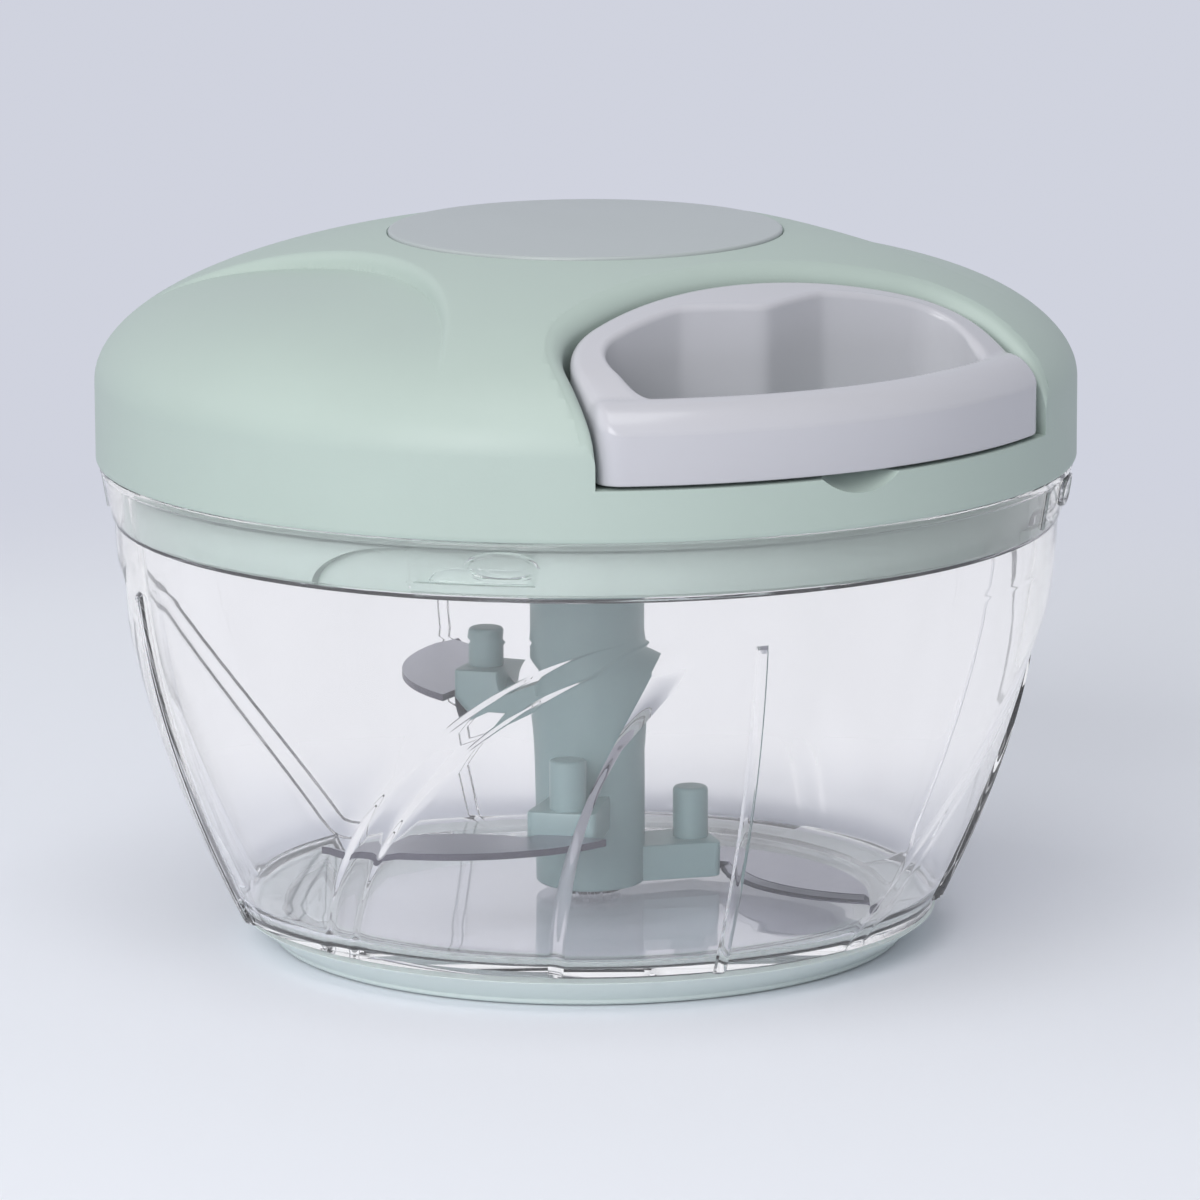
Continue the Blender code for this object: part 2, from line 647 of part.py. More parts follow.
def repeat(piece, count, target, operation):
    """Applies copies of a cutter or boss evenly round the Z axis."""
    operation(target, piece)
    for index in range(1, count):
        copy = place(f"{piece.name[:-1]}{index + 1}", piece.data)
        copy.matrix_world = turn_to(index * 360 / count)
        operation(target, copy)


def pin(radius, bottom, top):
    """Steel pin with small chamfers at both ends."""
    chamfer = 0.3 * MM
    section = [(0, bottom), (radius - chamfer, bottom), (radius, bottom + chamfer)]
    section += [(radius, top - chamfer), (radius - chamfer, top), (0, top)]
    return turned(section, PIN_STEPS)


def lid_shell():
    """Section of the lid cover: dome, side wall, groove for the seal and skirt inside the collar."""
    disc_floor = DISC_TOP_Z - DISC_THICKNESS - GAP
    disc_radius = DISC_RADIUS + GAP
    inner = LID_RADIUS - LID_WALL
    section = [(0, disc_floor), (disc_radius, disc_floor)]
    for step in range(DOME_STEPS + 1):
        angle = math.pi / 2 * (1 - step / DOME_STEPS)
        reach = disc_radius + (LID_RADIUS - disc_radius) * math.cos(angle)
        section.append((reach, dome_height(reach)))
    section += [(LID_RADIUS, LID_EDGE_Z + 0.4 * MM), (LID_RADIUS - 0.4 * MM, LID_EDGE_Z), (inner, LID_EDGE_Z)]
    section += [(inner, GROOVE_Z), (SKIRT_RADIUS, GROOVE_Z), (SKIRT_RADIUS, SKIRT_Z), (SKIRT_INNER_RADIUS, SKIRT_Z)]
    section += [(SKIRT_INNER_RADIUS, WEB_TOP_Z), (inner, WEB_TOP_Z)]
    for step in range(0, DOME_STEPS, 2):
        angle = math.pi / 2 * step / DOME_STEPS
        reach = disc_radius + (inner - disc_radius) * math.cos(angle)
        section.append((reach, ceiling_height(reach)))
    section += [(disc_radius, CEILING_Z), (0, CEILING_Z)]
    return turned(section, SHELL_STEPS)


def recess_cutter():
    """Handle recess: straight walls with a soft flare where they meet the dome."""
    outline = handle_outline(RECESS_FRONT_RADIUS)
    base = grown(outline, RECESS_GAP)
    flared = grown(outline, RECESS_GAP + RECESS_FLARE)
    rings = [[Vector((x, y, RECESS_Z)) for x, y in base]]
    for out, rise in ((0.0, -2.3 * MM), (0.25, -0.9 * MM), (0.62, -0.1 * MM), (1.0, 0.25 * MM)):
        ring = []
        for (x, y), (far_x, far_y) in zip(base, flared):
            edge_x = x + (far_x - x) * out
            edge_y = y + (far_y - y) * out
            height = dome_height(math.hypot(edge_x, edge_y)) + rise
            ring.append(Vector((edge_x, edge_y, max(height, RECESS_Z + MM + out * MM))))
        rings.append(ring)
    rings.append([Vector((x, y, DISC_TOP_Z + CUTTER_REACH)) for x, y in flared])
    return lofted(rings)


def grip_cutter(name, side):
    """Scoop over the dome inside a large circle: its floor lies under the dome and comes out to it outwards."""
    section = []
    inner = GRIP_CENTRE - GRIP_RADIUS - 6 * MM
    outer = GRIP_FADE_END + 4 * MM
    for step in range(9):
        reach = inner + (outer - inner) * step / 8
        share = min(max((reach - GRIP_FADE_START) / (GRIP_FADE_END - GRIP_FADE_START), 0.0), 1.4)
        section.append((reach, dome_height(reach) - GRIP_DEPTH * (1 - share)))
    section += [(outer, DISC_TOP_Z + 4 * MM), (inner, DISC_TOP_Z + 4 * MM)]
    ring = place(f"grip_floor_{name}", turned(section, SHELL_STEPS))
    centre = side * GRIP_CENTRE
    circle = []
    for step in range(SHELL_STEPS):
        angle = 2 * math.pi * step / SHELL_STEPS
        circle.append((centre + GRIP_RADIUS * math.cos(angle), GRIP_RADIUS * math.sin(angle)))
    area = place(f"grip_area_{name}", prism(circle, LID_EDGE_Z, DISC_TOP_Z + CUTTER_REACH))
    trim_to(ring, area)
    return ring


def build_lid_cover(parent, green):
    cover = place("lid_cover", lid_shell(), green, parent)

    wall = grown(handle_outline(LID_RADIUS - LID_WALL / 2 - RECESS_WALL), RECESS_GAP + RECESS_WALL)
    inside = place("recess_walls", prism(wall, RECESS_Z - RECESS_FLOOR, DISC_TOP_Z + 4 * MM))
    boss_section = [(0, CEILING_Z - AXLE_BOSS_DEPTH), (AXLE_BOSS_RADIUS, CEILING_Z - AXLE_BOSS_DEPTH)]
    boss_section += [(AXLE_BOSS_RADIUS, CEILING_Z + SINK), (0, CEILING_Z + SINK)]
    join(inside, place("axle_boss", turned(boss_section, ROUND_STEPS)))
    for index, azimuth in enumerate(SCREW_AZIMUTHS):
        post = place(f"post_{index + 1}", disc(POST_RADIUS, PLATE_TOP_Z + GAP, DISC_TOP_Z))
        post.matrix_world = Matrix.Translation(direction(azimuth) * SCREW_CIRCLE)
        join(inside, post)
    envelope_section = [(0, PLATE_Z)]
    envelope_section += [(LID_RADIUS - LID_WALL / 2, PLATE_Z), (LID_RADIUS - LID_WALL / 2, LID_SIDE_TOP)]
    for step in range(1, DOME_STEPS + 1):
        angle = math.pi / 2 * (1 - step / DOME_STEPS)
        reach = (LID_RADIUS - LID_WALL / 2) * math.sin(angle)
        low = DOME_RISE - DOME_WALL / 2
        share = reach / (LID_RADIUS - LID_WALL / 2)
        height = min(LID_SIDE_TOP + low * math.sqrt(1 - share**DOME_EXPONENT), CEILING_Z + CEILING_THICKNESS / 2)
        envelope_section.append((reach, height))
    trim_to(inside, place("lid_envelope", turned(envelope_section, SHELL_STEPS)))
    join(cover, inside)

    cut(cover, place("recess_cutter", recess_cutter()))
    for name, side in (("left", -1), ("right", 1)):
        cut(cover, grip_cutter(name, side))
    scoop = bmesh.new()
    bmesh.ops.create_uvsphere(scoop, u_segments=24, v_segments=14, radius=THUMB_SCOOP_RADIUS)
    thumb = place("thumb_scoop", scoop)
    scoop_y = -(LID_RADIUS + 1.5 * MM)
    thumb.matrix_world = Matrix.Translation((0, scoop_y, RECESS_Z - THUMB_SCOOP_DEPTH + THUMB_SCOOP_RADIUS))
    cut(cover, thumb)

    low = SKIRT_Z - 1 * MM
    ledge = LUG_Z - GAP
    slot_floor = COLLAR_INNER_RADIUS - LUG_REACH - GAP
    run = LUG_HALF_ANGLE + SLOT_SPARE_ANGLE
    run_section = [(slot_floor, ledge), (LID_RADIUS - LID_WALL - GAP, ledge)]
    run_section += [(LID_RADIUS - LID_WALL - GAP, ledge + SLOT_HEIGHT), (slot_floor, ledge + SLOT_HEIGHT)]
    entry_section = [(slot_floor, low), (LID_RADIUS - LID_WALL - GAP, low)]
    entry_section += [(LID_RADIUS - LID_WALL - GAP, ledge + SINK), (slot_floor, ledge + SINK)]
    slot = place("slot_run_1", turned(run_section, 10, LUG_AZIMUTH - LOCK_ANGLE - run, LOCK_ANGLE + 2 * run))
    entry = place("slot_entry_1", turned(entry_section, 6, LUG_AZIMUTH - LOCK_ANGLE - run, 2 * run - SLOT_SPARE_ANGLE))
    repeat(slot, LUG_COUNT, cover, cut)
    repeat(entry, LUG_COUNT, cover, cut)

    axle_hole = disc(AXLE_RADIUS + GAP, CEILING_Z - AXLE_BOSS_DEPTH - MM, AXLE_TOP_Z + GAP)
    cut(cover, place("axle_hole", axle_hole))
    for index, azimuth in enumerate(SCREW_AZIMUTHS):
        hole = place(f"post_hole_{index + 1}", disc(SCREW_RADIUS + GAP, PLATE_Z, PLATE_Z + SCREW_LENGTH + MM))
        hole.matrix_world = Matrix.Translation(direction(azimuth) * SCREW_CIRCLE)
        cut(cover, hole)
    guide_hole = place("guide_hole", disc(GUIDE_RADIUS + GAP, -CUTTER_REACH, CUTTER_REACH))
    guide_hole.matrix_world = Matrix.Translation((0, -guide_y(), CORD_Z)) @ Matrix.Rotation(math.pi / 2, 4, "X")
    cut(cover, guide_hole)


def guide_y():
    """Distance of the middle of the recess's back wall from the axis."""
    return HANDLE_BACK - RECESS_GAP - RECESS_WALL / 2


def build_lid_fixtures(parent, grey, rubber, white, steel):
    edge = 0.3 * MM
    section = [(0, DISC_TOP_Z - DISC_THICKNESS), (DISC_RADIUS, DISC_TOP_Z - DISC_THICKNESS)]
    section += [(DISC_RADIUS, DISC_TOP_Z - edge), (DISC_RADIUS - edge, DISC_TOP_Z), (0, DISC_TOP_Z)]
    place("top_disc", turned(section, SHELL_STEPS), grey, parent)

    bearing = HUB_SHAFT_RADIUS + GAP
    section = [(bearing, PLATE_Z), (SKIRT_INNER_RADIUS - GAP, PLATE_Z), (SKIRT_INNER_RADIUS - GAP, PLATE_TOP_Z)]
    section += [(bearing + 1.6 * MM, PLATE_TOP_Z), (bearing + 1.6 * MM, BEARING_TOP_Z), (bearing, BEARING_TOP_Z)]
    plate = place("lid_plate", turned(section, SHELL_STEPS), white, parent)
    shared = None
    for index, azimuth in enumerate(SCREW_AZIMUTHS):
        spot = Matrix.Translation(direction(azimuth) * SCREW_CIRCLE)
        hole = place(f"plate_hole_{index + 1}", disc(SCREW_RADIUS + GAP, PLATE_Z - MM, PLATE_TOP_Z + MM))
        hole.matrix_world = spot
        cut(plate, hole)
        if shared is None:
            shared = screw()
        piece = place(f"plate_screw_{index + 1}", shared, steel, parent)
        shared = piece.data
        piece.matrix_world = spot

    section = [(AXLE_RADIUS + GAP, WASHER_Z), (WASHER_RADIUS, WASHER_Z)]
    section += [(WASHER_RADIUS, WASHER_Z + WASHER_THICKNESS), (AXLE_RADIUS + GAP, WASHER_Z + WASHER_THICKNESS)]
    shaft_clear = HUB_SHAFT_RADIUS + GAP
    section = [(max(radius, shaft_clear), height) for radius, height in section]
    place("thrust_washer", turned(section, ROUND_STEPS), steel, parent)

    place("reel_axle", pin(AXLE_RADIUS, AXLE_BOTTOM_Z, AXLE_TOP_Z), steel, parent)

    inner = SPRING_CUP_RADIUS - SPRING_CUP_WALL
    section = [(AXLE_BOSS_RADIUS + GAP, SPRING_CUP_TOP_Z - SPRING_CUP_WALL), (inner, SPRING_CUP_TOP_Z - SPRING_CUP_WALL)]
    section += [(inner, SPRING_CUP_Z), (SPRING_CUP_RADIUS, SPRING_CUP_Z), (SPRING_CUP_RADIUS, SPRING_CUP_TOP_Z)]
    section += [(AXLE_BOSS_RADIUS + GAP, SPRING_CUP_TOP_Z)]
    place("spring_cup", turned(section, ROUND_STEPS), white, parent)

    place("recoil_spring", spiral_spring(inner - GAP - SPRING_STRIP), steel, parent)

    half = RECESS_WALL / 2 + GAP
    flange = GUIDE_RADIUS + GUIDE_FLANGE
    thick = GUIDE_FLANGE_THICKNESS
    section = [(GUIDE_HOLE_RADIUS, -half - thick), (flange, -half - thick), (flange, -half)]
    section += [(GUIDE_RADIUS, -half), (GUIDE_RADIUS, half), (GUIDE_HOLE_RADIUS, half)]
    guide = place("cord_guide", turned(section, 20), steel, parent)
    guide.matrix_world = Matrix.Translation((0, -guide_y(), CORD_Z)) @ Matrix.Rotation(math.pi / 2, 4, "X")

    return plate


def screw():
    """Pan-head screw from under the plate into a post, with a round dimple for the driver."""
    head = PLATE_Z - GAP
    low = head - SCREW_HEAD_HEIGHT
    tip = PLATE_Z + SCREW_LENGTH - GAP
    section = [(0, low + 0.7 * MM), (1.0 * MM, low + 0.7 * MM), (1.2 * MM, low)]
    section += [(SCREW_HEAD_RADIUS - 0.6 * MM, low), (SCREW_HEAD_RADIUS, low + 0.5 * MM), (SCREW_HEAD_RADIUS, head)]
    section += [(SCREW_RADIUS, head), (SCREW_RADIUS, tip - MM), (0, tip)]
    return turned(section, PIN_STEPS)


def spiral_spring(outer):
    """Flat spiral strip between the cup's wall and the reel's arbor."""
    start = ARBOR_RADIUS + GAP + SPRING_STRIP
    low = SPRING_CUP_Z + (SPRING_CUP_DEPTH - SPRING_CUP_WALL - SPRING_WIDTH) / 2
    rings = []
    count = round(SPRING_TURNS * SPRING_POINTS)
    for step in range(count + 1):
        angle = 360.0 * step / SPRING_POINTS
        reach = start + (outer - start) * step / count
        out = direction(angle)
        near = out * (reach - SPRING_STRIP / 2)
        far = out * (reach + SPRING_STRIP / 2)
        up = Vector((0, 0, low))
        top = Vector((0, 0, low + SPRING_WIDTH))
        rings.append([near + up, far + up, far + top, near + top])
    return lofted(rings)


def build_seal(parent, rubber):
    inner = SKIRT_RADIUS + GAP
    section = [(inner, SEAL_Z), (inner + SEAL_WIDTH, SEAL_Z), (inner + SEAL_WIDTH, SEAL_Z + SEAL_THICKNESS)]
    section += [(inner, SEAL_Z + SEAL_THICKNESS)]
    place("lid_seal", turned(section, SHELL_STEPS), rubber, parent)


def handle_top(point):
    """Height of the handle's top: it follows the dome and ends in a low brow in front."""
    reach = point.to_2d().length
    brow = HANDLE_FRONT_RADIUS - HANDLE_BROW_WIDTH
    share = max(0.0, reach - brow) / HANDLE_BROW_WIDTH
    return max(dome_height(reach) - HANDLE_BELOW_DOME, HANDLE_CREASE_Z + HANDLE_BROW * (1 - share**2))


def build_handle(parent, grey, cord):
    hole_front = HANDLE_FRONT_RADIUS - HANDLE_FRONT_WALL
    hole_back = HANDLE_BACK + HANDLE_BACK_WALL
    outer = handle_outline(HANDLE_FRONT_RADIUS)
    inner = plan_outline(
        hole_back, HOLE_BACK_BOW, HOLE_SIDE, HOLE_SIDE_SLOPE, hole_front, HOLE_BACK_CORNER, HOLE_FRONT_CORNER, KNOT_BUMP
    )
    rings = []
    for outside, inside in zip(outer, inner):
        outside = Vector((*outside, 0))
        inside = Vector((*inside, 0))
        across = (inside - outside).normalized()
        under = Vector((0, 0, HANDLE_UNDER_Z))
        chamfer = across * 0.4 * MM
        ring = [outside + under + chamfer, outside + under + Vector((0, 0, 0.4 * MM))]
        for start, inwards, edge in ((outside, across, HANDLE_EDGE), (inside, -across, HANDLE_HOLE_EDGE)):
            corner = []
            for drawn_in, below in ((0.0, 1.0), (0.3, 0.3), (1.0, 0.0)):
                point = start + inwards * edge * drawn_in
                top = handle_top(start + inwards * edge) - edge * below
                corner.append(Vector((point.x, point.y, top)))
            if start is inside:
                corner.reverse()
            ring += corner
        middle = (outside + inside) / 2
        ring.insert(5, Vector((middle.x, middle.y, handle_top(middle) + 0.15 * MM)))
        ring.append(inside + under)
        rings.append(ring)
    handle = place("pull_handle", lofted(rings, closed=True), grey, parent)

    knot_y = knot_distance()
    pocket = place("knot_pocket", disc(KNOT_POCKET_RADIUS, HANDLE_UNDER_Z - MM, CORD_Z + KNOT_POCKET_RADIUS))
    pocket.matrix_world = Matrix.Translation((0, -knot_y, 0))
    cut(handle, pocket)
    hole = place("cord_hole", disc(CORD_HOLE_RADIUS, 0, knot_y - HANDLE_BACK + 2 * MM))
    hole.matrix_world = Matrix.Translation((0, -knot_y, CORD_Z)) @ Matrix.Rotation(-math.pi / 2, 4, "X")
    cut(handle, hole)

    section = []
    for step in range(9):
        angle = math.pi * step / 8
        section.append((KNOT_RADIUS * math.sin(angle), -KNOT_RADIUS * 0.85 * math.cos(angle)))
    section[0] = (0, section[0][1])
    section[-1] = (0, section[-1][1])
    knot = place("cord_knot", turned(section, PIN_STEPS), cord, parent)
    knot.matrix_world = Matrix.Translation((0, -knot_y, CORD_Z)) @ Matrix.Rotation(math.pi / 2, 4, "X")


def knot_distance():
    """Distance of the knot from the lid's axis: inside the boss of the handle's back wall."""
    return HANDLE_BACK + HANDLE_BACK_WALL


def cord_tube(name, points, roundness, cord, parent):
    """Cord along points, as a curve with a bevel and filled caps."""
    curve = bpy.data.curves.new(name, "CURVE")
    curve.dimensions = "3D"
    curve.bevel_depth = CORD_DIAMETER / 2
    curve.bevel_resolution = roundness
    curve.use_fill_caps = True
    spline = curve.splines.new("POLY")
    spline.points.add(len(points) - 1)
    for target, point in zip(spline.points, points):
        target.co = (*point, 1.0)
    curve.materials.append(cord)
    tube = bpy.data.objects.new(name, curve)
    tube.parent = parent
    bpy.context.scene.collection.objects.link(tube)


def cord_leave_azimuth():
    """Azimuth at which the cord leaves its outermost loop in a straight line for the guide."""
    outer = DRUM_RADIUS + GAP + CORD_DIAMETER / 2 + CORD_PITCH * CORD_LOOPS
    return math.degrees(math.acos(outer / guide_y()))


def build_cord(reel, lid, cord):
    leave = cord_leave_azimuth()
    points_per_loop = 24
    count = CORD_LOOPS * points_per_loop
    loops = []
    for step in range(count + 1):
        azimuth = leave + 360.0 * (count - step) / points_per_loop
        reach = DRUM_RADIUS + GAP + CORD_DIAMETER / 2 + CORD_PITCH * step / points_per_loop
        loops.append(direction(azimuth) * reach + Vector((0, 0, CORD_Z)))
    cord_tube("cord_winding", loops, 1, cord, reel)

    last = loops[-1]
    ahead = (Vector((0, -guide_y(), CORD_Z)) - last).normalized()
    enter = Vector((0, -guide_y() + 2.6 * MM, CORD_Z))
    run = [last + ahead * (GAP + CORD_DIAMETER * 0.1)]
    run += [run[0].lerp(enter, share) for share in (0.3, 0.6, 0.85)]
    end_y = -knot_distance() + KNOT_RADIUS * 0.85 + GAP
    for share in (0.0, 0.12, 0.3, 0.6, 1.0):
        run.append(Vector((0, enter.y + (end_y - enter.y) * (0.1 + 0.9 * share), CORD_Z)))
    cord_tube("cord_run", run, 2, cord, lid)
    gap = min((a - b).length for i, a in enumerate(loops) for b in loops[i + points_per_loop // 2 :])
    print(f"cord winding: least gap to itself {(gap - CORD_DIAMETER) / MM:.2f} mm")


def build_reel(parent, white, steel):
    bore = AXLE_RADIUS + GAP
    section = [(bore, REEL_BOTTOM_Z), (FLANGE_RADIUS, REEL_BOTTOM_Z), (FLANGE_RADIUS, DRUM_Z), (DRUM_RADIUS, DRUM_Z)]
    section += [(DRUM_RADIUS, DRUM_Z + DRUM_WIDTH), (FLANGE_RADIUS, DRUM_Z + DRUM_WIDTH), (FLANGE_RADIUS, REEL_TOP_Z)]
    section += [(ARBOR_RADIUS, REEL_TOP_Z), (ARBOR_RADIUS, ARBOR_TOP_Z), (bore, ARBOR_TOP_Z)]
    reel = place("cord_reel", turned(section, ROUND_STEPS + 8), white, parent)
    for index in range(2):
        spot = turn_to(180 * index) @ Matrix.Translation((0, -PAWL_CIRCLE, 0))
        pivot = place(f"pawl_pivot_{index + 1}", disc(PAWL_PIVOT_RADIUS, pawl_z(), REEL_BOTTOM_Z + SINK))
        pivot.matrix_world = spot
        join(reel, pivot)

    pawl_mesh = pawl()
    for index in range(2):
        spot = turn_to(180 * index) @ Matrix.Translation((0, -PAWL_CIRCLE, 0))
        piece = place(f"pawl_{index + 1}", pawl_mesh, steel, parent)
        pawl_mesh = piece.data
        piece.matrix_world = spot
        eye = place(f"pawl_eye_{index + 1}", disc(PAWL_PIVOT_RADIUS + GAP, pawl_z() - MM, REEL_BOTTOM_Z + MM))
        eye.matrix_world = spot
        cut(piece, eye)


def pawl_z():
    return REEL_BOTTOM_Z - GAP - PAWL_THICKNESS


def pawl():
    """Ratchet pawl in plan: an eye round its pivot and a nose that reaches towards the hub's teeth."""
    eye = PAWL_PIVOT_RADIUS + 1.3 * MM
    reach = HUB_DISC_RADIUS - HUB_RING_WALL - HUB_TOOTH_DEPTH / 2
    tip = direction(-PAWL_NOSE_ANGLE) * reach + Vector((0, PAWL_CIRCLE, 0))
    along = tip.normalized()
    side = Vector((-along.y, along.x, 0))
    outline = []
    for step in range(9):
        angle = math.radians(100 + 160 * step / 8)
        point = along * math.cos(angle) * eye + side * math.sin(angle) * eye
        outline.append((point.x, point.y))
    for across in (-0.7 * MM, 0.5 * MM):
        point = tip + side * across
        outline.append((point.x, point.y))
    return prism(outline, pawl_z(), REEL_BOTTOM_Z - GAP)


def build_hub(parent, white):
    bore = AXLE_RADIUS + GAP
    low = HOLDER_TOP_Z + GAP
    ring_inner = HUB_DISC_RADIUS - HUB_RING_WALL
    disc_top = HUB_Z + HUB_DISC_THICKNESS
    section = [(0, DOG_BOTTOM_Z), (DOG_CORE_RADIUS, DOG_BOTTOM_Z), (DOG_CORE_RADIUS, low), (HUB_SHAFT_RADIUS, low)]
    section += [(HUB_SHAFT_RADIUS, HUB_Z), (HUB_DISC_RADIUS, HUB_Z), (HUB_DISC_RADIUS, HUB_RING_TOP_Z)]
    section += [(ring_inner, HUB_RING_TOP_Z), (ring_inner, disc_top), (bore, disc_top)]
    section += [(bore, AXLE_BOTTOM_Z - GAP), (0, AXLE_BOTTOM_Z - GAP)]
    hub = place("drive_hub", turned(section, ROUND_STEPS), white, parent)

    step_angle = 360.0 / HUB_TEETH
    tooth = []
    for share, reach in ((0.0, ring_inner + SINK), (0.0, ring_inner - HUB_TOOTH_DEPTH), (-0.9, ring_inner + SINK)):
        point = direction(step_angle * share) * reach
        tooth.append((point.x, point.y))
    teeth = place("ratchet_tooth_1", prism(tooth, disc_top - SINK, HUB_RING_TOP_Z - 0.2 * MM))
    join(hub, teeth)
    for index in range(1, HUB_TEETH):
        copy = place(f"ratchet_tooth_{index + 1}", teeth.data)
        copy.matrix_world = turn_to(index * step_angle)
        join(hub, copy)

    dog_section = [(DOG_CORE_RADIUS - SINK, DOG_BOTTOM_Z + 0.2 * MM), (DOG_TIP_RADIUS, DOG_BOTTOM_Z + 0.2 * MM)]
    dog_section += [(DOG_TIP_RADIUS, low + SINK), (DOG_CORE_RADIUS - SINK, low + SINK)]
    dog = place("hub_dog_1", turned(dog_section, DOG_STEPS, -DOG_HALF_ANGLE, 2 * DOG_HALF_ANGLE))
    repeat(dog, 2, hub, join)


def blade():
    """Blade in plan from its tang to its tip, with a bevel along the leading edge. +X is the arm's direction."""
    root = ARM_REACH + GAP
    half = TANG_HALF_WIDTH
    outline = [(TANG_START, -half), (TANG_START, half), (root, half), BLADE_HEEL]
    outline += arc_through(BLADE_HEEL, BLADE_BACK_MIDDLE, BLADE_TIP, BLADE_STEPS)
    edge_start = len(outline)
    outline += arc_through(BLADE_TIP, BLADE_EDGE_MIDDLE, (root, -half), BLADE_STEPS)
    low = -BLADE_THICKNESS / 2
    top = BLADE_THICKNESS / 2
    lower = [Vector((x, y, low)) for x, y in outline]
    middle = []
    upper = []
    for index, (x, y) in enumerate(outline):
        sharpened = edge_start <= index < len(outline) - 1
        point = Vector((x, y, top))
        if sharpened:
            along = (Vector(outline[index + 1]) - Vector(outline[index - 1])).normalized()
            point += Vector((along.y, -along.x, 0)) * BLADE_BEVEL
        middle.append(Vector((x, y, low + BLADE_EDGE_LEFT)))
        upper.append(point)
    return lofted([lower, middle, upper])


def build_blades(parent, green, steel):
    bore = PIVOT_RADIUS + GAP
    chamfer = 0.5 * MM
    boss_clear = PIVOT_BOSS_RADIUS + GAP
    boss_top = FLOOR_Z + PIVOT_BOSS_HEIGHT + GAP
    section = [(boss_clear, HOLDER_BOTTOM_Z), (HOLDER_RADIUS - chamfer, HOLDER_BOTTOM_Z)]
    section += [(HOLDER_RADIUS, HOLDER_BOTTOM_Z + chamfer), (HOLDER_RADIUS, HOLDER_TOP_Z - chamfer)]
    section += [(HOLDER_RADIUS - chamfer, HOLDER_TOP_Z), (SOCKET_RADIUS, HOLDER_TOP_Z), (SOCKET_RADIUS, SOCKET_Z)]
    section += [(bore, SOCKET_Z), (bore, boss_top), (boss_clear, boss_top)]
    holder = place("blade_holder", turned(section, ROUND_STEPS), green, parent)

    dog_section = [(DOG_CORE_RADIUS + GAP, SOCKET_Z + SINK), (SOCKET_RADIUS + SINK, SOCKET_Z + SINK)]
    dog_section = [(radius, SOCKET_Z - SINK) for radius, _ in dog_section]
    dog_section += [(SOCKET_RADIUS + SINK, HOLDER_TOP_Z - SINK), (DOG_CORE_RADIUS + GAP, HOLDER_TOP_Z - SINK)]
    start = -3 * DOG_HALF_ANGLE - DOG_DRIVE_GAP_ANGLE
    dog = place("holder_dog_1", turned(dog_section, DOG_STEPS, start, 2 * DOG_HALF_ANGLE))
    repeat(dog, 2, holder, join)

    arm_inner = HOLDER_RADIUS - 1.2 * MM
    half = ARM_WIDTH / 2
    blade_mesh = blade()
    for name, (height, azimuth, peg_height) in BLADES.items():
        turn = turn_to(azimuth - 90)
        low = height - ARM_BELOW_BLADE
        top = height + ARM_ABOVE_BLADE
        arm_plan = [(arm_inner - 2 * MM, -half * 0.8), (ARM_REACH - MM, -half), (ARM_REACH, -half + MM)]
        arm_plan += [(x, -y) for x, y in reversed(arm_plan)]
        arm = place(f"arm_{name}", prism(arm_plan, low, top))
        bore_left = place(f"arm_bore_{name}", disc(PIVOT_RADIUS + GAP, low - MM, top + MM))
        peg = place(f"peg_{name}", peg_solid(top, top + peg_height))
        peg.matrix_world = Matrix.Translation((PEG_REACH, 0, 0))
        join(arm, peg)
        slot_half = TANG_HALF_WIDTH + GAP
        slot_height = BLADE_THICKNESS / 2 + GAP
        slot_plan = [(TANG_START - GAP, -slot_half), (ARM_REACH + MM, -slot_half)]
        slot_plan += [(ARM_REACH + MM, slot_half), (TANG_START - GAP, slot_half)]
        slot = place(f"tang_slot_{name}", prism(slot_plan, height - slot_height, height + slot_height))
        cut(arm, bore_left)
        for piece in (arm, peg, slot):
            piece.matrix_world = turn @ piece.matrix_world
        join(holder, arm)
        cut(holder, slot)
        steel_blade = place(f"blade_{name}", blade_mesh, steel, parent)
        blade_mesh = steel_blade.data
        steel_blade.matrix_world = Matrix.Translation((0, 0, height)) @ turn


def peg_solid(bottom, top):
    """Round peg on an arm with a rounded top."""
    edge = 0.5 * MM
    section = [(0, bottom - SINK), (PEG_RADIUS, bottom - SINK), (PEG_RADIUS, top - edge)]
    section += [(PEG_RADIUS - edge, top), (0, top)]
    return turned(section, 20)


def main():
    clear_scene()
    clear = finish("clear_plastic", CLEAR, 0.05, transmission=0.95)
    green = finish("sage_plastic", SAGE, 0.45)
    dark_green = finish("holder_plastic", SAGE_DARK, 0.4)
    foot_green = finish("foot_plastic", SAGE, 0.55)
    grey = finish("handle_plastic", GREY, 0.25)
    disc_grey = finish("disc_plastic", DISC_GREY, 0.2)
    white = finish("mechanism_plastic", WHITE, 0.5)
    steel = finish("steel", STEEL, 0.3, metallic=1.0)
    rubber = finish("seal_rubber", WHITE, 0.7)
    cord = finish("cord", BLACK, 0.8)

    bowl_body = axis_empty("bowl_body")
    lid_lift = axis_empty("lid_lift", bowl_body)
    lid_turn = axis_empty("lid_turn", lid_lift)
    handle_pull = axis_empty("handle_pull", lid_turn)
    reel_turn = axis_empty("reel_turn", lid_turn)
    hub_turn = axis_empty("hub_turn", lid_turn)
    blade_turn = axis_empty("blade_turn", bowl_body)

    build_bowl(bowl_body, clear, steel, foot_green)
    build_seal(lid_lift, rubber)
    build_lid_cover(lid_turn, green)
    build_lid_fixtures(lid_turn, disc_grey, rubber, white, steel)
    build_handle(handle_pull, grey, cord)
    build_reel(reel_turn, white, steel)
    build_cord(reel_turn, lid_turn, cord)
    build_hub(hub_turn, white)
    build_blades(blade_turn, dark_green, steel)


if __name__ == "__main__":
    main()
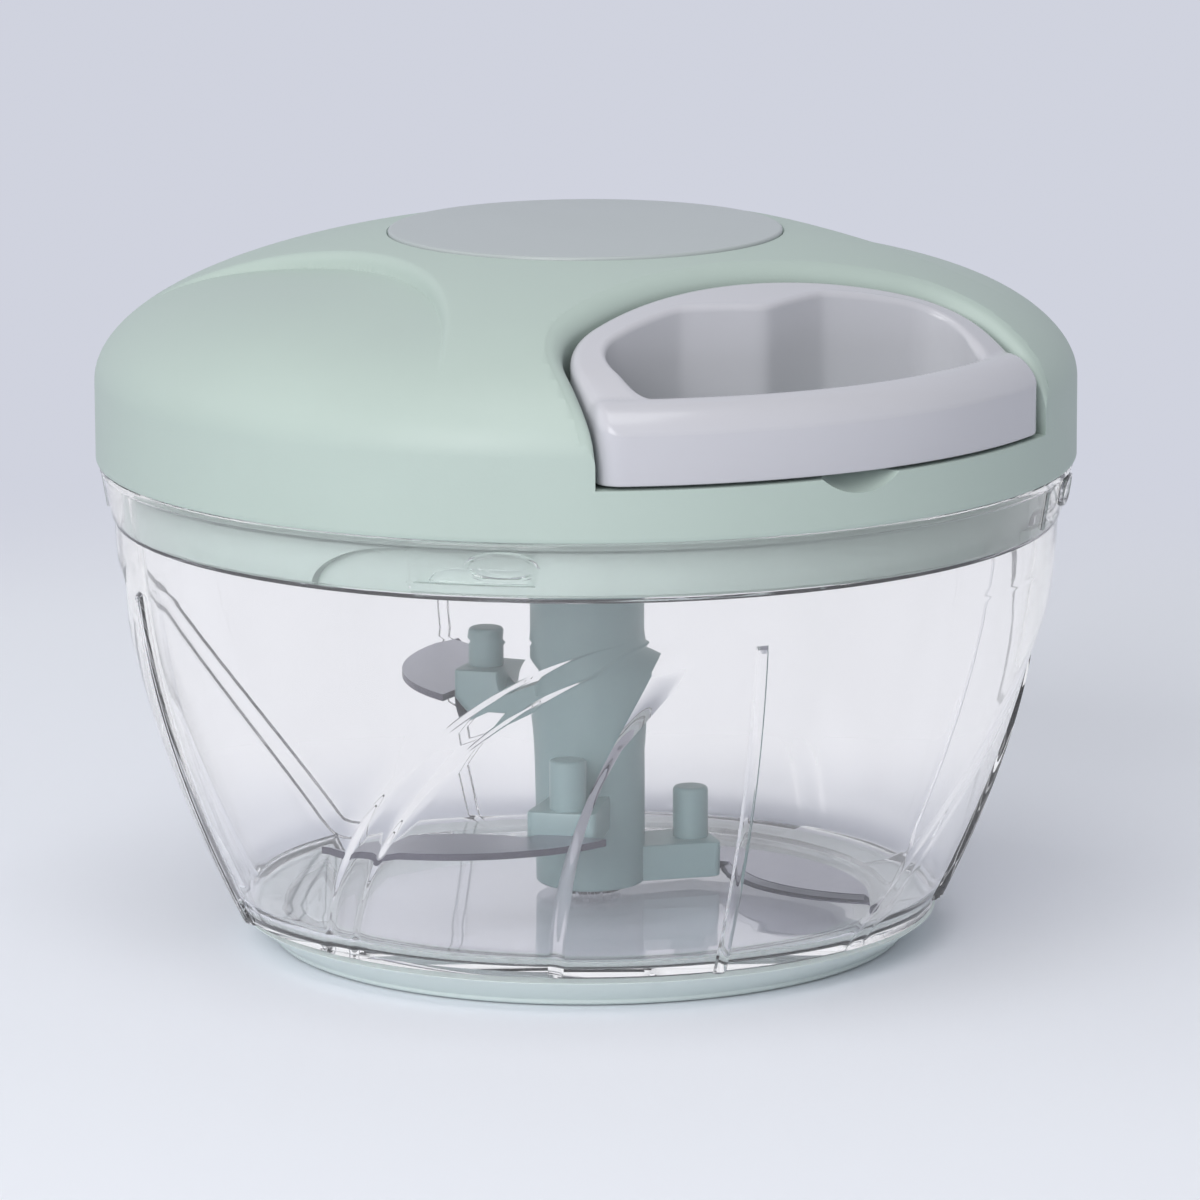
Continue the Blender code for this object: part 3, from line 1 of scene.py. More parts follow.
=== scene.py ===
"""Looks of a pull-cord food chopper: clear bowl, sage lid, grey pull handle, cord drive and three blades.

Metres, +Z up, the middle of the base's underside at the origin. Azimuths are in degrees from -Y and grow
towards +X. A section is a list of (radius, height) points.
"""

import json
import logging
import math
from dataclasses import dataclass, field
from enum import Enum
from typing import Callable, Optional, Sequence, Union

import bmesh
import bpy
import numpy as np
from mathutils import Matrix, Vector

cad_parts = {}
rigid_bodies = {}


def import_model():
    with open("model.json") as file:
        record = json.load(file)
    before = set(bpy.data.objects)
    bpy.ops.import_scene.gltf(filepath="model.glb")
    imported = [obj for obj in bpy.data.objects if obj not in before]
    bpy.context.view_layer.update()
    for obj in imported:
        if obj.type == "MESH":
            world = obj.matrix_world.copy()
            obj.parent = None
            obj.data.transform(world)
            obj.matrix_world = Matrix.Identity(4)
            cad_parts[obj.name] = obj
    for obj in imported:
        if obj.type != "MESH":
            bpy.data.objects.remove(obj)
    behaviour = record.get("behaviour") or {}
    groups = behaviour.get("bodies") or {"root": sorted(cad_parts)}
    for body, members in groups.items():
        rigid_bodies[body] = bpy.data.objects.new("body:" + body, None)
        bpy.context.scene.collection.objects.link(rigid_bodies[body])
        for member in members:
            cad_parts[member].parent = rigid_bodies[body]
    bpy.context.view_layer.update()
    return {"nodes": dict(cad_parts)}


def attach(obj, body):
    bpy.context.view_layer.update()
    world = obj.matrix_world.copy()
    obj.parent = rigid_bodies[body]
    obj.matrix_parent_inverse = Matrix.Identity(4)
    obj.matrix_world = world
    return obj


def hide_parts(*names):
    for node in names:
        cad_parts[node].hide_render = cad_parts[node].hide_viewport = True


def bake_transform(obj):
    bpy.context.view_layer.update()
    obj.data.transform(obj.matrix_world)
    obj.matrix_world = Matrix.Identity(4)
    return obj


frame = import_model()

log = logging.getLogger("food_chopper")
MM = 0.001
Pair = tuple[float, float]
Section = list[Pair]
Colour = tuple[float, float, float]
Value = Union[bpy.types.NodeSocket, float, int, bool, tuple]
Heights = Callable[[float], float]
QUARTERS = 4
QUARTER = 90.0


class Body(Enum):
    """Moving bodies of the chopper."""

    BOWL = "bowl"
    SEAL = "lid_seal"
    LID = "lid"
    HANDLE = "handle"
    REEL = "reel"
    HUB = "hub"
    BLADES = "blades"


class Grain(Enum):
    """Surface textures that a mould leaves on plastic."""

    POLISHED = "polished"
    SATIN = "satin"
    SPARKED = "sparked"


def heading(azimuth: float) -> Vector:
    """Unit vector in plan for an azimuth in degrees."""
    angle = math.radians(azimuth)
    return Vector((math.sin(angle), -math.cos(angle), 0.0))


def smoothstep(value: float) -> float:
    """Soft step from 0 to 1."""
    value = min(max(value, 0.0), 1.0)
    return value * value * (3 - 2 * value)


class Wiring:
    """Adds nodes to a node tree and links their sockets."""

    def __init__(self, tree: bpy.types.NodeTree) -> None:
        """Keeps the tree to work on."""
        self.tree = tree

    def put(self, socket: bpy.types.NodeSocket, value: Value) -> None:
        """Links a socket to another, or sets its plain value.

        Args:
            socket: the input to fill.
            value: an output socket, or a number, colour or choice.
        """
        if isinstance(value, bpy.types.NodeSocket):
            self.tree.links.new(value, socket)
        else:
            socket.default_value = value

    def node(self, kind: str, inputs: Optional[dict] = None, **settings: object) -> bpy.types.Node:
        """Makes a node.

        Args:
            kind: the node's type name.
            inputs: values or sockets by input name or index.
            settings: attributes of the node.

        Returns:
            The new node.
        """
        made = self.tree.nodes.new(kind)
        for key, value in settings.items():
            setattr(made, key, value)
        for key, value in (inputs or {}).items():
            self.put(made.inputs[key], value)
        return made

    def math(self, operation: str, first: Value, second: Value = 0.0) -> bpy.types.NodeSocket:
        """Result of a scalar Math node, in a shader tree or a geometry tree."""
        return self.node("ShaderNodeMath", {0: first, 1: second}, operation=operation).outputs[0]

    def noise(self, vector: Value, scale: float, detail: float, roughness: float = 0.5) -> bpy.types.NodeSocket:
        """Value of a noise texture."""
        settings = {"Vector": vector, "Scale": scale, "Detail": detail, "Roughness": roughness}
        return self.node("ShaderNodeTexNoise", settings).outputs["Fac"]

    def tones(self, shader: bpy.types.Node, factor: Value, colours: Sequence[Sequence[float]], ends: Pair) -> None:
        """Colours a shader from one tone to another between two values of a factor."""
        ramp = self.node("ShaderNodeValToRGB", {"Fac": factor})
        for element, colour, place in zip(ramp.color_ramp.elements, colours, ends):
            element.position = place
            element.color = (*colour, 1.0)
        self.put(shader.inputs["Base Color"], ramp.outputs["Color"])

    def rough(self, shader: bpy.types.Node, factor: Value, low: float, high: float) -> None:
        """Varies a shader's roughness over the middle range of a noise."""
        ends = {"From Min": 0.3, "From Max": 0.7, "To Min": low, "To Max": high}
        self.put(shader.inputs["Roughness"], self.node("ShaderNodeMapRange", {"Value": factor, **ends}).outputs[0])

    def bump(self, shader: bpy.types.Node, strength: float, distance: float, height: Value) -> None:
        """Gives a shader's surface a fine relief."""
        made = self.node("ShaderNodeBump", {"Strength": strength, "Distance": distance, "Height": height})
        self.put(shader.inputs["Normal"], made.outputs["Normal"])

    def whole(self, operation: str, first: Value, second: Value) -> bpy.types.NodeSocket:
        """Result of an Integer Math node."""
        return self.node("FunctionNodeIntegerMath", {0: first, 1: second}, operation=operation).outputs[0]


@dataclass(frozen=True)
class Plastic:
    """Moulded plastic with a faint mottle and the grain of its mould.

    Attributes:
        name: material name.
        colour: linear base colour.
        roughness: mean roughness.
        grain: the mould's texture.
        mottle: how far the colour varies.
    """

    name: str
    colour: Colour
    roughness: float
    grain: Grain = Grain.SATIN
    mottle: float = 0.03

    def make(self) -> bpy.types.Material:
        """Builds the material and returns it."""
        material, wiring, shader = blank(self.name)
        place = wiring.node("ShaderNodeTexCoord").outputs["Object"]
        cloud = wiring.noise(place, 38.0, 4.0, 0.6)
        sides = (1 - self.mottle, 1 + self.mottle)
        wiring.tones(shader, cloud, [[min(part * side, 1.0) for part in self.colour] for side in sides], (0.3, 0.7))
        spread = 0.05 if self.grain is Grain.POLISHED else 0.14
        wiring.rough(shader, cloud, self.roughness * (1 - spread), self.roughness * (1 + spread))
        scale, strength, height = {
            Grain.POLISHED: (700.0, 0.04, 0.00001),
            Grain.SATIN: (900.0, 0.12, 0.00004),
            Grain.SPARKED: (1500.0, 0.3, 0.00006),
        }[self.grain]
        wiring.bump(shader, strength, height, wiring.noise(place, scale, 3.0, 0.65))
        return material


@dataclass(frozen=True)
class ClearPlastic:
    """Transparent moulded plastic with a faint tint, fine flow marks and a polished face."""

    name: str
    colour: Colour
    roughness: float = 0.012
    ior: float = 1.34
    haze: float = 0.045
    passed: Colour = (0.94, 0.94, 0.955)

    def make(self) -> bpy.types.Material:
        """Builds the material and returns it."""
        material, wiring, shader = blank(self.name)
        place = wiring.node("ShaderNodeTexCoord").outputs["Object"]
        flow = wiring.node("ShaderNodeMapping", {"Vector": place, "Scale": (1.0, 1.0, 0.35)}).outputs[0]
        marks = wiring.noise(flow, 45.0, 2.0)
        wiring.tones(shader, marks, ([part * 0.975 for part in self.colour], self.colour), (0.35, 0.65))
        shader.inputs["Roughness"].default_value = self.roughness
        shader.inputs["IOR"].default_value = self.ior
        shader.inputs["Transmission Weight"].default_value = 1.0 - self.haze
        wiring.bump(shader, 0.05, 0.00003, marks)
        film = wiring.node("ShaderNodeBsdfTransparent", {"Color": (*self.passed, 1.0)})
        rays = wiring.node("ShaderNodeLightPath").outputs["Is Shadow Ray"]
        lit = wiring.node("ShaderNodeMixShader", {0: rays, 1: shader.outputs[0], 2: film.outputs[0]})
        wiring.put(material.node_tree.nodes["Material Output"].inputs["Surface"], lit.outputs[0])
        return material


@dataclass(frozen=True)
class BrushedSteel:
    """Stainless steel with fine brush lines along one axis and small stains."""

    name: str
    colour: Colour
    roughness: float
    stretch: tuple[float, float, float] = (1.0, 22.0, 22.0)

    def make(self) -> bpy.types.Material:
        """Builds the material and returns it."""
        material, wiring, shader = blank(self.name)
        place = wiring.node("ShaderNodeTexCoord").outputs["Object"]
        lines = wiring.node("ShaderNodeMapping", {"Vector": place, "Scale": self.stretch}).outputs[0]
        brush = wiring.noise(lines, 120.0, 4.0, 0.7)
        stain = wiring.math("MULTIPLY", wiring.noise(place, 90.0, 3.0), 0.4)
        tone = wiring.math("ADD", wiring.math("MULTIPLY", brush, 0.6), stain)
        wiring.tones(shader, tone, ([part * 0.86 for part in self.colour], self.colour), (0.35, 0.65))
        wiring.rough(shader, brush, self.roughness * 0.8, self.roughness * 1.25)
        shader.inputs["Metallic"].default_value = 1.0
        wiring.bump(shader, 0.1, 0.00003, brush)
        return material


@dataclass(frozen=True)
class BraidedCord:
    """Braided polyester cord, with strands that cross along its own UV map."""

    name: str
    colour: Colour

    def make(self) -> bpy.types.Material:
        """Builds the material and returns it."""
        material, wiring, shader = blank(self.name)
        lay = wiring.node("ShaderNodeUVMap", uv_map="lay").outputs[0]
        halves = []
        for turn in (0.7, -0.7):
            turned = wiring.node("ShaderNodeMapping", {"Vector": lay, "Rotation": (0.0, 0.0, turn)}).outputs[0]
            halves.append(wiring.node("ShaderNodeTexWave", {"Vector": turned, "Scale": 1.6}).outputs["Fac"])
        strands = wiring.math("MAXIMUM", halves[0], halves[1])
        wiring.tones(shader, strands, ([part * 0.45 for part in self.colour], self.colour), (0.0, 1.0))
        shader.inputs["Roughness"].default_value = 0.8
        shader.inputs["Sheen Weight"].default_value = 0.25
        wiring.bump(shader, 0.5, 0.0001, strands)
        return material


def blank(name: str) -> tuple[bpy.types.Material, Wiring, bpy.types.Node]:
    """New material with a Principled shader.

    Args:
        name: material name.

    Returns:
        The material, the wiring of its tree and its shader.
    """
    material = bpy.data.materials.new(name)
    material.use_nodes = True
    return material, Wiring(material.node_tree), material.node_tree.nodes["Principled BSDF"]


class Finishes:
    """Every finish of the chopper, made once."""

    def __init__(self) -> None:
        """Builds the materials."""
        self.clear = ClearPlastic("clear_bowl", (0.965, 0.965, 0.985)).make()
        self.sage = Plastic("sage_lid", (0.44, 0.528, 0.485), 0.48, Grain.SPARKED, 0.02).make()
        # Paler than the lid's sage: painted light, for the light that the foot ring gets under the clear bowl.
        self.foot = Plastic("sage_foot_painted_light", (0.68, 0.76, 0.745), 0.4, Grain.SATIN, 0.02).make()
        self.holder = Plastic("deep_sage_holder", (0.23, 0.33, 0.33), 0.42, Grain.SATIN, 0.04).make()
        self.grey = Plastic("pale_grey_handle", (0.54, 0.54, 0.58), 0.2, Grain.POLISHED, 0.01).make()
        self.disc = Plastic("grey_disc", (0.42, 0.46, 0.46), 0.32, Grain.POLISHED, 0.01).make()
        self.works = Plastic("white_works", (0.7, 0.7, 0.67), 0.45, Grain.SATIN, 0.03).make()
        self.rubber = Plastic("seal_rubber_soft", (0.66, 0.68, 0.66), 0.7, Grain.SATIN, 0.03).make()
        self.steel = BrushedSteel("brushed_steel", (0.4, 0.4, 0.46), 0.36).make()
        # Near-black steel for the blades' edge faces: a real ground edge, darkened as painted shade.
        self.ground_and_shade_steel = BrushedSteel("ground_edge_painted_shade_steel", (0.12, 0.115, 0.15), 0.4).make()
        self.turned_steel = BrushedSteel("turned_steel", (0.56, 0.555, 0.56), 0.26, (22.0, 22.0, 1.0)).make()
        self.cord = BraidedCord("braided_cord", (0.055, 0.055, 0.06)).make()


def mesh_object(name: str, source: Union[bmesh.types.BMesh, bpy.types.Mesh]) -> bpy.types.Object:
    """Links an object made from a bmesh or a mesh.

    Args:
        name: object name.
        source: the shape. A bmesh is freed.

    Returns:
        The new object.
    """
    if isinstance(source, bmesh.types.BMesh):
        data = bpy.data.meshes.new(name)
        source.to_mesh(data)
        source.free()
    else:
        data = source
    made = bpy.data.objects.new(name, data)
    bpy.context.scene.collection.objects.link(made)
    return made


def smooth(piece: bpy.types.Object, angle: float = 32.0) -> bpy.types.Object:
    """Shades a piece smooth, with sharp edges past an angle in degrees."""
    piece.data.shade_smooth()
    piece.data.set_sharp_from_angle(angle=math.radians(angle))
    return piece


def evaluated(piece: bpy.types.Object) -> bpy.types.Object:
    """Turns a piece's modifiers into plain mesh and removes them."""
    graph = bpy.context.evaluated_depsgraph_get()
    graph.update()
    data = bpy.data.meshes.new_from_object(piece.evaluated_get(graph))
    piece.modifiers.clear()
    piece.data = data
    return piece


def face_out(piece: bpy.types.Object, weld: float = 1e-7) -> bpy.types.Object:
    """Merges doubles and turns a closed shape's faces outwards."""
    mesh = bmesh.new()
    mesh.from_mesh(piece.data)
    bmesh.ops.remove_doubles(mesh, verts=mesh.verts, dist=weld)
    bmesh.ops.dissolve_degenerate(mesh, edges=mesh.edges, dist=weld)
    bmesh.ops.recalc_face_normals(mesh, faces=mesh.faces)
    mesh.to_mesh(piece.data)
    mesh.free()
    return piece


def bored(piece: bpy.types.Object, others: Sequence[bpy.types.Object], operation: str) -> bpy.types.Object:
    """Applies exact Booleans with other objects, which are then removed.

    Args:
        piece: the piece to change.
        others: cutters or additions.
        operation: DIFFERENCE, UNION or INTERSECT.

    Returns:
        The piece, with plain mesh.
    """
    for other in others:
        modifier = piece.modifiers.new(other.name, "BOOLEAN")
        modifier.operation = operation
        modifier.solver = "EXACT"
        modifier.object = other
    evaluated(piece)
    for other in others:
        bpy.data.objects.remove(other, do_unlink=True)
    return piece


def dress(
    piece: bpy.types.Object,
    finish: bpy.types.Material,
    body: Body,
    stands_for: Sequence[str] = (),
) -> bpy.types.Object:
    """Gives a finished piece its material and body, and hides the nodes that it stands for."""
    if not piece.data.materials:
        piece.data.materials.append(finish)
    else:
        piece.data.materials[0] = finish
    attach(piece, body.value)
    if stands_for:
        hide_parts(*stands_for)
    log.info("%s: %d faces on %s", piece.name, len(piece.data.polygons), body.value)
    return piece


def curve_points(start: Vector, control: Vector, end: Vector, steps: int) -> list[Pair]:
    """Points of a rounded corner, with both ends."""
    made = []
    for step in range(steps + 1):
        share = step / steps
        point = start * (1 - share) ** 2 + control * (2 * share * (1 - share)) + end * share**2
        made.append((point.x, point.y))
    return made


def eased(points: Section, rounding: float, steps: int = 3) -> Section:
    """Section whose corners are eased by short curves.

    Args:
        points: the section's corners, open at both ends.
        rounding: how far from a corner its curve starts.
        steps: segments of each curve.

    Returns:
        The eased section.
    """
    made: Section = [points[0]]
    for before, corner, after in zip(points, points[1:], points[2:]):
        a, b, c = Vector(before), Vector(corner), Vector(after)
        back, ahead = a - b, c - b
        reach = min(rounding, back.length * 0.45, ahead.length * 0.45)
        if reach < 1e-6 or back.angle(ahead, math.pi) > math.radians(168):
            made.append(corner)
            continue
        start, end = b + back.normalized() * reach, b + ahead.normalized() * reach
        made += curve_points(start, b, end, steps)
    made.append(points[-1])
    return made


def shifted(radius: float, height: float, *offsets: Pair) -> Section:
    """Points beside a corner, by their offsets in millimetres."""
    return [(radius + aside * MM, height + up * MM) for aside, up in offsets]


def placed(azimuth: float, reach: float, height: float) -> Vector:
    """Point at an azimuth, a distance from the axis and a height."""
    return heading(azimuth) * reach + Vector((0, 0, height))


def closed_round(mesh: bmesh.types.BMesh, rings: list[list[bmesh.types.BMVert]]) -> None:
    """Joins rings round the axis by faces, the last to the first too. A ring of one vertex is a pole."""
    for upper, lower in zip(rings, rings[1:] + rings[:1]):
        sides = max(len(upper), len(lower))
        for index in range(sides if sides > 1 else 0):
            corners = [(upper, index), (upper, index + 1), (lower, index + 1), (lower, index)]
            mesh.faces.new(list(dict.fromkeys(ring[place % len(ring)] for ring, place in corners)))


class LineTree:
    """Geometry Nodes tree that makes a piece from a line of points."""

    def __init__(self, name: str, inputs: dict[str, str]) -> None:
        """Opens the tree.

        Args:
            name: name of the node group.
            inputs: kind of each input by its name. One is the Finish.
        """
        self.tree = bpy.data.node_groups.new(name, "GeometryNodeTree")
        face = self.tree.interface
        face.new_socket("Line", in_out="INPUT", socket_type="NodeSocketGeometry")
        self.ids = {
            key: face.new_socket(key, in_out="INPUT", socket_type=f"NodeSocket{kind}").identifier
            for key, kind in inputs.items()
        }
        face.new_socket("Piece", in_out="OUTPUT", socket_type="NodeSocketGeometry")

    def finish(self, wiring: Wiring, given: bpy.types.bpy_prop_collection, shape: bpy.types.NodeSocket) -> None:
        """Ends the tree in real geometry that wears its material."""
        real = wiring.node("GeometryNodeRealizeInstances", {"Geometry": shape})
        dressed = wiring.node("GeometryNodeSetMaterial", {"Geometry": real.outputs[0], "Material": given["Finish"]})
        wiring.put(wiring.node("NodeGroupOutput").inputs[0], dressed.outputs[0])

    def run(self, name: str, line: Sequence[Sequence[float]], values: dict[str, object]) -> bpy.types.Object:
        """Runs the tree on a line and keeps the plain mesh.

        Args:
            name: object name.
            line: its points.
            values: what each input is set to.

        Returns:
            The piece, without a modifier.
        """
        mesh = bmesh.new()
        points = [mesh.verts.new(point) for point in line]
        for pair in zip(points, points[1:]):
            mesh.edges.new(pair)
        piece = mesh_object(name, mesh)
        modifier = piece.modifiers.new(self.tree.name, "NODES")
        modifier.node_group = self.tree
        for key, value in values.items():
            modifier[self.ids[key]] = value
        return evaluated(piece)


class TurningTree(LineTree):
    """Turns a section round the Z axis, and repeats it round a circle if asked."""

    def __init__(self) -> None:
        """Builds the tree."""
        kinds = {"Steps": "Int", "Spots": "Int", "Circle Radius": "Float", "Skip Beyond": "Float",
                 "Finish": "Material"}
        super().__init__("turned_section", kinds)
        wiring = Wiring(self.tree)
        given = wiring.node("NodeGroupInput").outputs
        count = wiring.node("GeometryNodeAttributeDomainSize", {"Geometry": given["Line"]}, component="MESH")
        across = wiring.whole("ADD", given["Steps"], 1)
        grid = wiring.node("GeometryNodeMeshGrid", {"Vertices X": across, "Vertices Y": count.outputs["Point Count"]})
        index = wiring.node("GeometryNodeInputIndex").outputs[0]
        along = wiring.whole("MODULO", index, count.outputs["Point Count"])
        column = wiring.whole("DIVIDE_FLOOR", index, count.outputs["Point Count"])
        spot = wiring.node("GeometryNodeInputPosition").outputs[0]
        sampled = wiring.node(
            "GeometryNodeSampleIndex",
            {"Geometry": given["Line"], "Value": spot, "Index": along},
            data_type="FLOAT_VECTOR",
        )
        parts = wiring.node("ShaderNodeSeparateXYZ", {0: sampled.outputs[0]}).outputs
        angle = wiring.math("MULTIPLY", wiring.math("DIVIDE", column, given["Steps"]), 2 * math.pi)
        east = wiring.math("MULTIPLY", parts[0], wiring.math("SINE", angle))
        south = wiring.math("MULTIPLY", parts[0], wiring.math("MULTIPLY", wiring.math("COSINE", angle), -1.0))
        place = wiring.node("ShaderNodeCombineXYZ", {0: east, 1: south, 2: parts[2]})
        turned = wiring.node(
            "GeometryNodeSetPosition", {"Geometry": grid.outputs["Mesh"], "Position": place.outputs[0]}
        )
        closed = wiring.node("GeometryNodeMergeByDistance", {"Geometry": turned.outputs[0], "Distance": 1e-6})
        share = wiring.math("DIVIDE", index, given["Spots"])
        around = wiring.math("MULTIPLY", share, 2 * math.pi)
        across_x, across_y = (
            wiring.math("MULTIPLY", given["Circle Radius"], wiring.math(wave, around)) for wave in ("SINE", "COSINE")
        )
        spot_place = wiring.node("ShaderNodeCombineXYZ", {0: across_x, 1: across_y})
        ring = wiring.node("GeometryNodePoints", {"Count": given["Spots"], "Position": spot_place.outputs[0]})
        east_now = wiring.node("ShaderNodeSeparateXYZ", {0: spot}).outputs[0]
        beyond = wiring.math("LESS_THAN", wiring.math("ABSOLUTE", east_now), given["Skip Beyond"])
        kept = wiring.node(
            "GeometryNodeDeleteGeometry", {"Geometry": ring.outputs[0], "Selection": beyond}, domain="POINT"
        )
        copied = {"Points": kept.outputs[0], "Instance": closed.outputs[0]}
        self.finish(wiring, given, wiring.node("GeometryNodeInstanceOnPoints", copied).outputs[0])

    def turn(
        self,
        name: str,
        points: Section,
        finish: bpy.types.Material,
        rounding: float,
        steps: int,
        curve: int = 3,
        spots: int = 1,
        circle: float = 0.0,
        skipped: float = -1.0,
    ) -> bpy.types.Object:
        """Makes a turned piece.

        Args:
            name: object name.
            points: its section in millimetres. A ring's section ends where it starts.
            finish: its material.
            rounding: how far its corners are eased, in millimetres.
            steps: facets round the axis.
            curve: segments of each eased corner.
            spots: copies round the circle.
            circle: the circle's radius.
            skipped: copies whose distance from the YZ plane is under this are left out.

        Returns:
            The piece with plain mesh.
        """
        section = [(radius * MM, height * MM) for radius, height in points]
        if rounding:
            section = eased(section, rounding * MM, curve)
        values = {"Steps": steps, "Spots": spots, "Circle Radius": circle, "Skip Beyond": skipped, "Finish": finish}
        piece = self.run(name, [(radius, 0.0, height) for radius, height in section], values)
        return smooth(face_out(piece))


class CordTree(LineTree):
    """Sweeps a round profile along a path."""

    def __init__(self) -> None:
        """Builds the tree."""
        super().__init__("swept_path", {"Sides": "Int", "Width": "Float", "Finish": "Material"})
        wiring = Wiring(self.tree)
        given = wiring.node("NodeGroupInput").outputs
        path = wiring.node("GeometryNodeMeshToCurve", {"Mesh": given["Line"]})
        upright = wiring.node("GeometryNodeSetCurveNormal", {"Curve": path.outputs[0]}, mode="Z_UP")
        circle = wiring.node("GeometryNodeCurvePrimitiveCircle", {"Resolution": given["Sides"]}, mode="RADIUS")
        wiring.put(circle.inputs["Radius"], wiring.math("MULTIPLY", given["Width"], 0.5))
        ends = {"Curve": upright.outputs[0], "Profile Curve": circle.outputs[0], "Fill Caps": True}
        self.finish(wiring, given, wiring.node("GeometryNodeCurveToMesh", ends).outputs[0])

    def sweep(
        self,
        name: str,
        path: Sequence[Vector],
        finish: bpy.types.Material,
        wide: float,
        sides: int = 16,
    ) -> bpy.types.Object:
        """Makes a cord along a path.

        Args:
            name: object name.
            path: points of the centreline.
            finish: its material.
            wide: the cord's diameter.
            sides: facets round it.

        Returns:
            The piece with plain mesh and a UV map named lay, in turns round and radii along.
        """
        piece = self.run(name, path, {"Sides": sides, "Width": wide, "Finish": finish})
        travelled = [0.0]
        for before, after in zip(path, path[1:]):
            travelled.append(travelled[-1] + (after - before).length)
        lay = piece.data.uv_layers.new(name="lay")
        for polygon in piece.data.polygons:
            around = [vertex % sides for vertex in polygon.vertices]
            wraps = max(around) - min(around) > sides / 2
            for loop, vertex, place in zip(polygon.loop_indices, polygon.vertices, around):
                turn = 1.0 if wraps and place == 0 else place / sides
                row = min(vertex // sides, len(travelled) - 1)
                lay.data[loop].uv = (turn * 3, travelled[row] / wide)
        return smooth(piece, 40.0)


@dataclass
class ClearBowl:
    """Clear bowl with four leaf-shaped scoops, four ribs, a collar with lugs and a sage foot ring."""

    finishes: Finishes
    turning: TurningTree
    foot: float = 46.3 * MM
    shoulder: float = 60.7 * MM
    bulge: float = 1.78
    wall: float = 2.6 * MM
    corner_z: float = 5.4 * MM
    collar_z: float = 56.2 * MM
    rim_z: float = 62.9 * MM
    collar_inner: float = 58.9 * MM
    collar_step: float = 0.5 * MM
    collar_flare: float = 0.9 * MM
    floor_z: float = 6.0 * MM
    under_z: float = 3.4 * MM
    left_edge: tuple = ((-24.5, 50.5), (-48.2, 51.2), (-71.9, 16.5), (-81.3, 2.4))
    deep_edge: tuple = ((-24.1, 50.3), (-26.5, 41.5), (-39.0, 26.0), (-40.2, 2.4))
    band: float = 4.4 * MM
    band_depth: float = 0.95 * MM
    step_share: float = 0.2
    deep: float = 1.4 * MM
    rib_azimuth: float = -12.8
    rib_half: float = 0.85 * MM
    rib_proud: float = 0.85 * MM
    rib_top: float = 49.0 * MM
    rows: int = 120
    apex_z: float = 50.2 * MM
    lug_azimuth: float = -46.8
    mark_azimuth: float = -43.1
    mark_z: float = 59.9 * MM

    def radius(self, height: float) -> float:
        """Outer radius of the wall at a height."""
        share = min(max((height - self.corner_z) / (self.collar_z - self.corner_z), 0.0), 1.0)
        return self.foot + (self.shoulder - self.foot) * (1 - (1 - share) ** self.bulge)

    def edge(self, points: tuple, heights: np.ndarray) -> np.ndarray:
        """Azimuths of a leaf's edge.

        Args:
            points: the edge's control points, azimuth and millimetres.
            heights: rising heights in metres.

        Returns:
            One azimuth for each height. Above the apex it stays at the apex.
        """
        share = np.linspace(0.0, 1.0, 400)
        rest = 1 - share
        weights = np.stack([rest**3, 3 * rest**2 * share, 3 * rest * share**2, share**3])
        line = np.array(points).T @ weights
        top = int(np.argmax(line[1]))
        return np.interp(heights / MM, line[1][top:][::-1], line[0][top:][::-1])

    def crest_width(self, height: float) -> float:
        """Width in degrees of the riser between the deep line and the crest."""
        heights = (5, 9, 16, 23, 27, 32, 36.5, 40, 44, 48, 50)
        return float(np.interp(height / MM, heights, (2.6, 2.6, 2.3, 1.6, 1.2, 0.9, 1.0, 2.0, 3.2, 4.2, 2.4)))

    def band_reach(self, height: float, left: float, deep: float) -> tuple[float, float]:
        """Width of the bevelled band along the level, and its share of the full depth, at a height."""
        around = self.radius(height) * math.pi / 180
        near = self.edge(self.left_edge, np.array([height - 0.2 * MM, height + 0.2 * MM]))
        slope = (near[1] - near[0]) * around / (0.4 * MM)
        full = self.band * math.sqrt(1 + slope * slope)
        width = min(full, max((deep - left) * around * 0.6, 1e-6))
        return width, width / full

    def inset(self, azimuth: float, height: float, left: float, deep: float, crest: float) -> float:
        """How far the wall is set in at a point of a leaf: a bevelled band, a deepening floor and a riser.

        Args:
            azimuth: the point's azimuth.
            height: its height.
            left: azimuth of the leaf's left edge at that height.
            deep: azimuth of its deepest line.
            crest: azimuth where the riser meets the wall.

        Returns:
            The distance in metres.
        """
        if not left < azimuth < crest:
            return 0.0
        around = self.radius(height) * math.pi / 180
        band, scale = self.band_reach(height, left, deep)
        into = (azimuth - left) * around
        if azimuth >= deep:
            share = (azimuth - deep) / (crest - deep)
            return scale * self.deep * (1 - 0.6 * share - 0.4 * smoothstep(share))
        if into < band:
            share = into / band
            outer_step = 0.42 * smoothstep(share / self.step_share)
            inner_step = 0.38 * smoothstep((share - 1) / self.step_share + 1)
            return scale * self.band_depth * (outer_step + inner_step + 0.2 * share)
        share = (into - band) / max((deep - left) * around - band, 1e-6)
        return scale * (self.band_depth + (self.deep - self.band_depth) * share**2)

    def rib(self, offset: float, height: float) -> float:
        """How far the rib stands out at an offset in metres from its middle."""
        if abs(offset) >= self.rib_half or height > self.rib_top:
            return 0.0
        across = math.sqrt(max(1 - (offset / self.rib_half) ** 2, 0.0))
        end = min((self.rib_top - height) / (0.9 * MM), 1.0)
        return self.rib_proud * across * math.sqrt(max(1 - (1 - end) ** 2, 0.0))

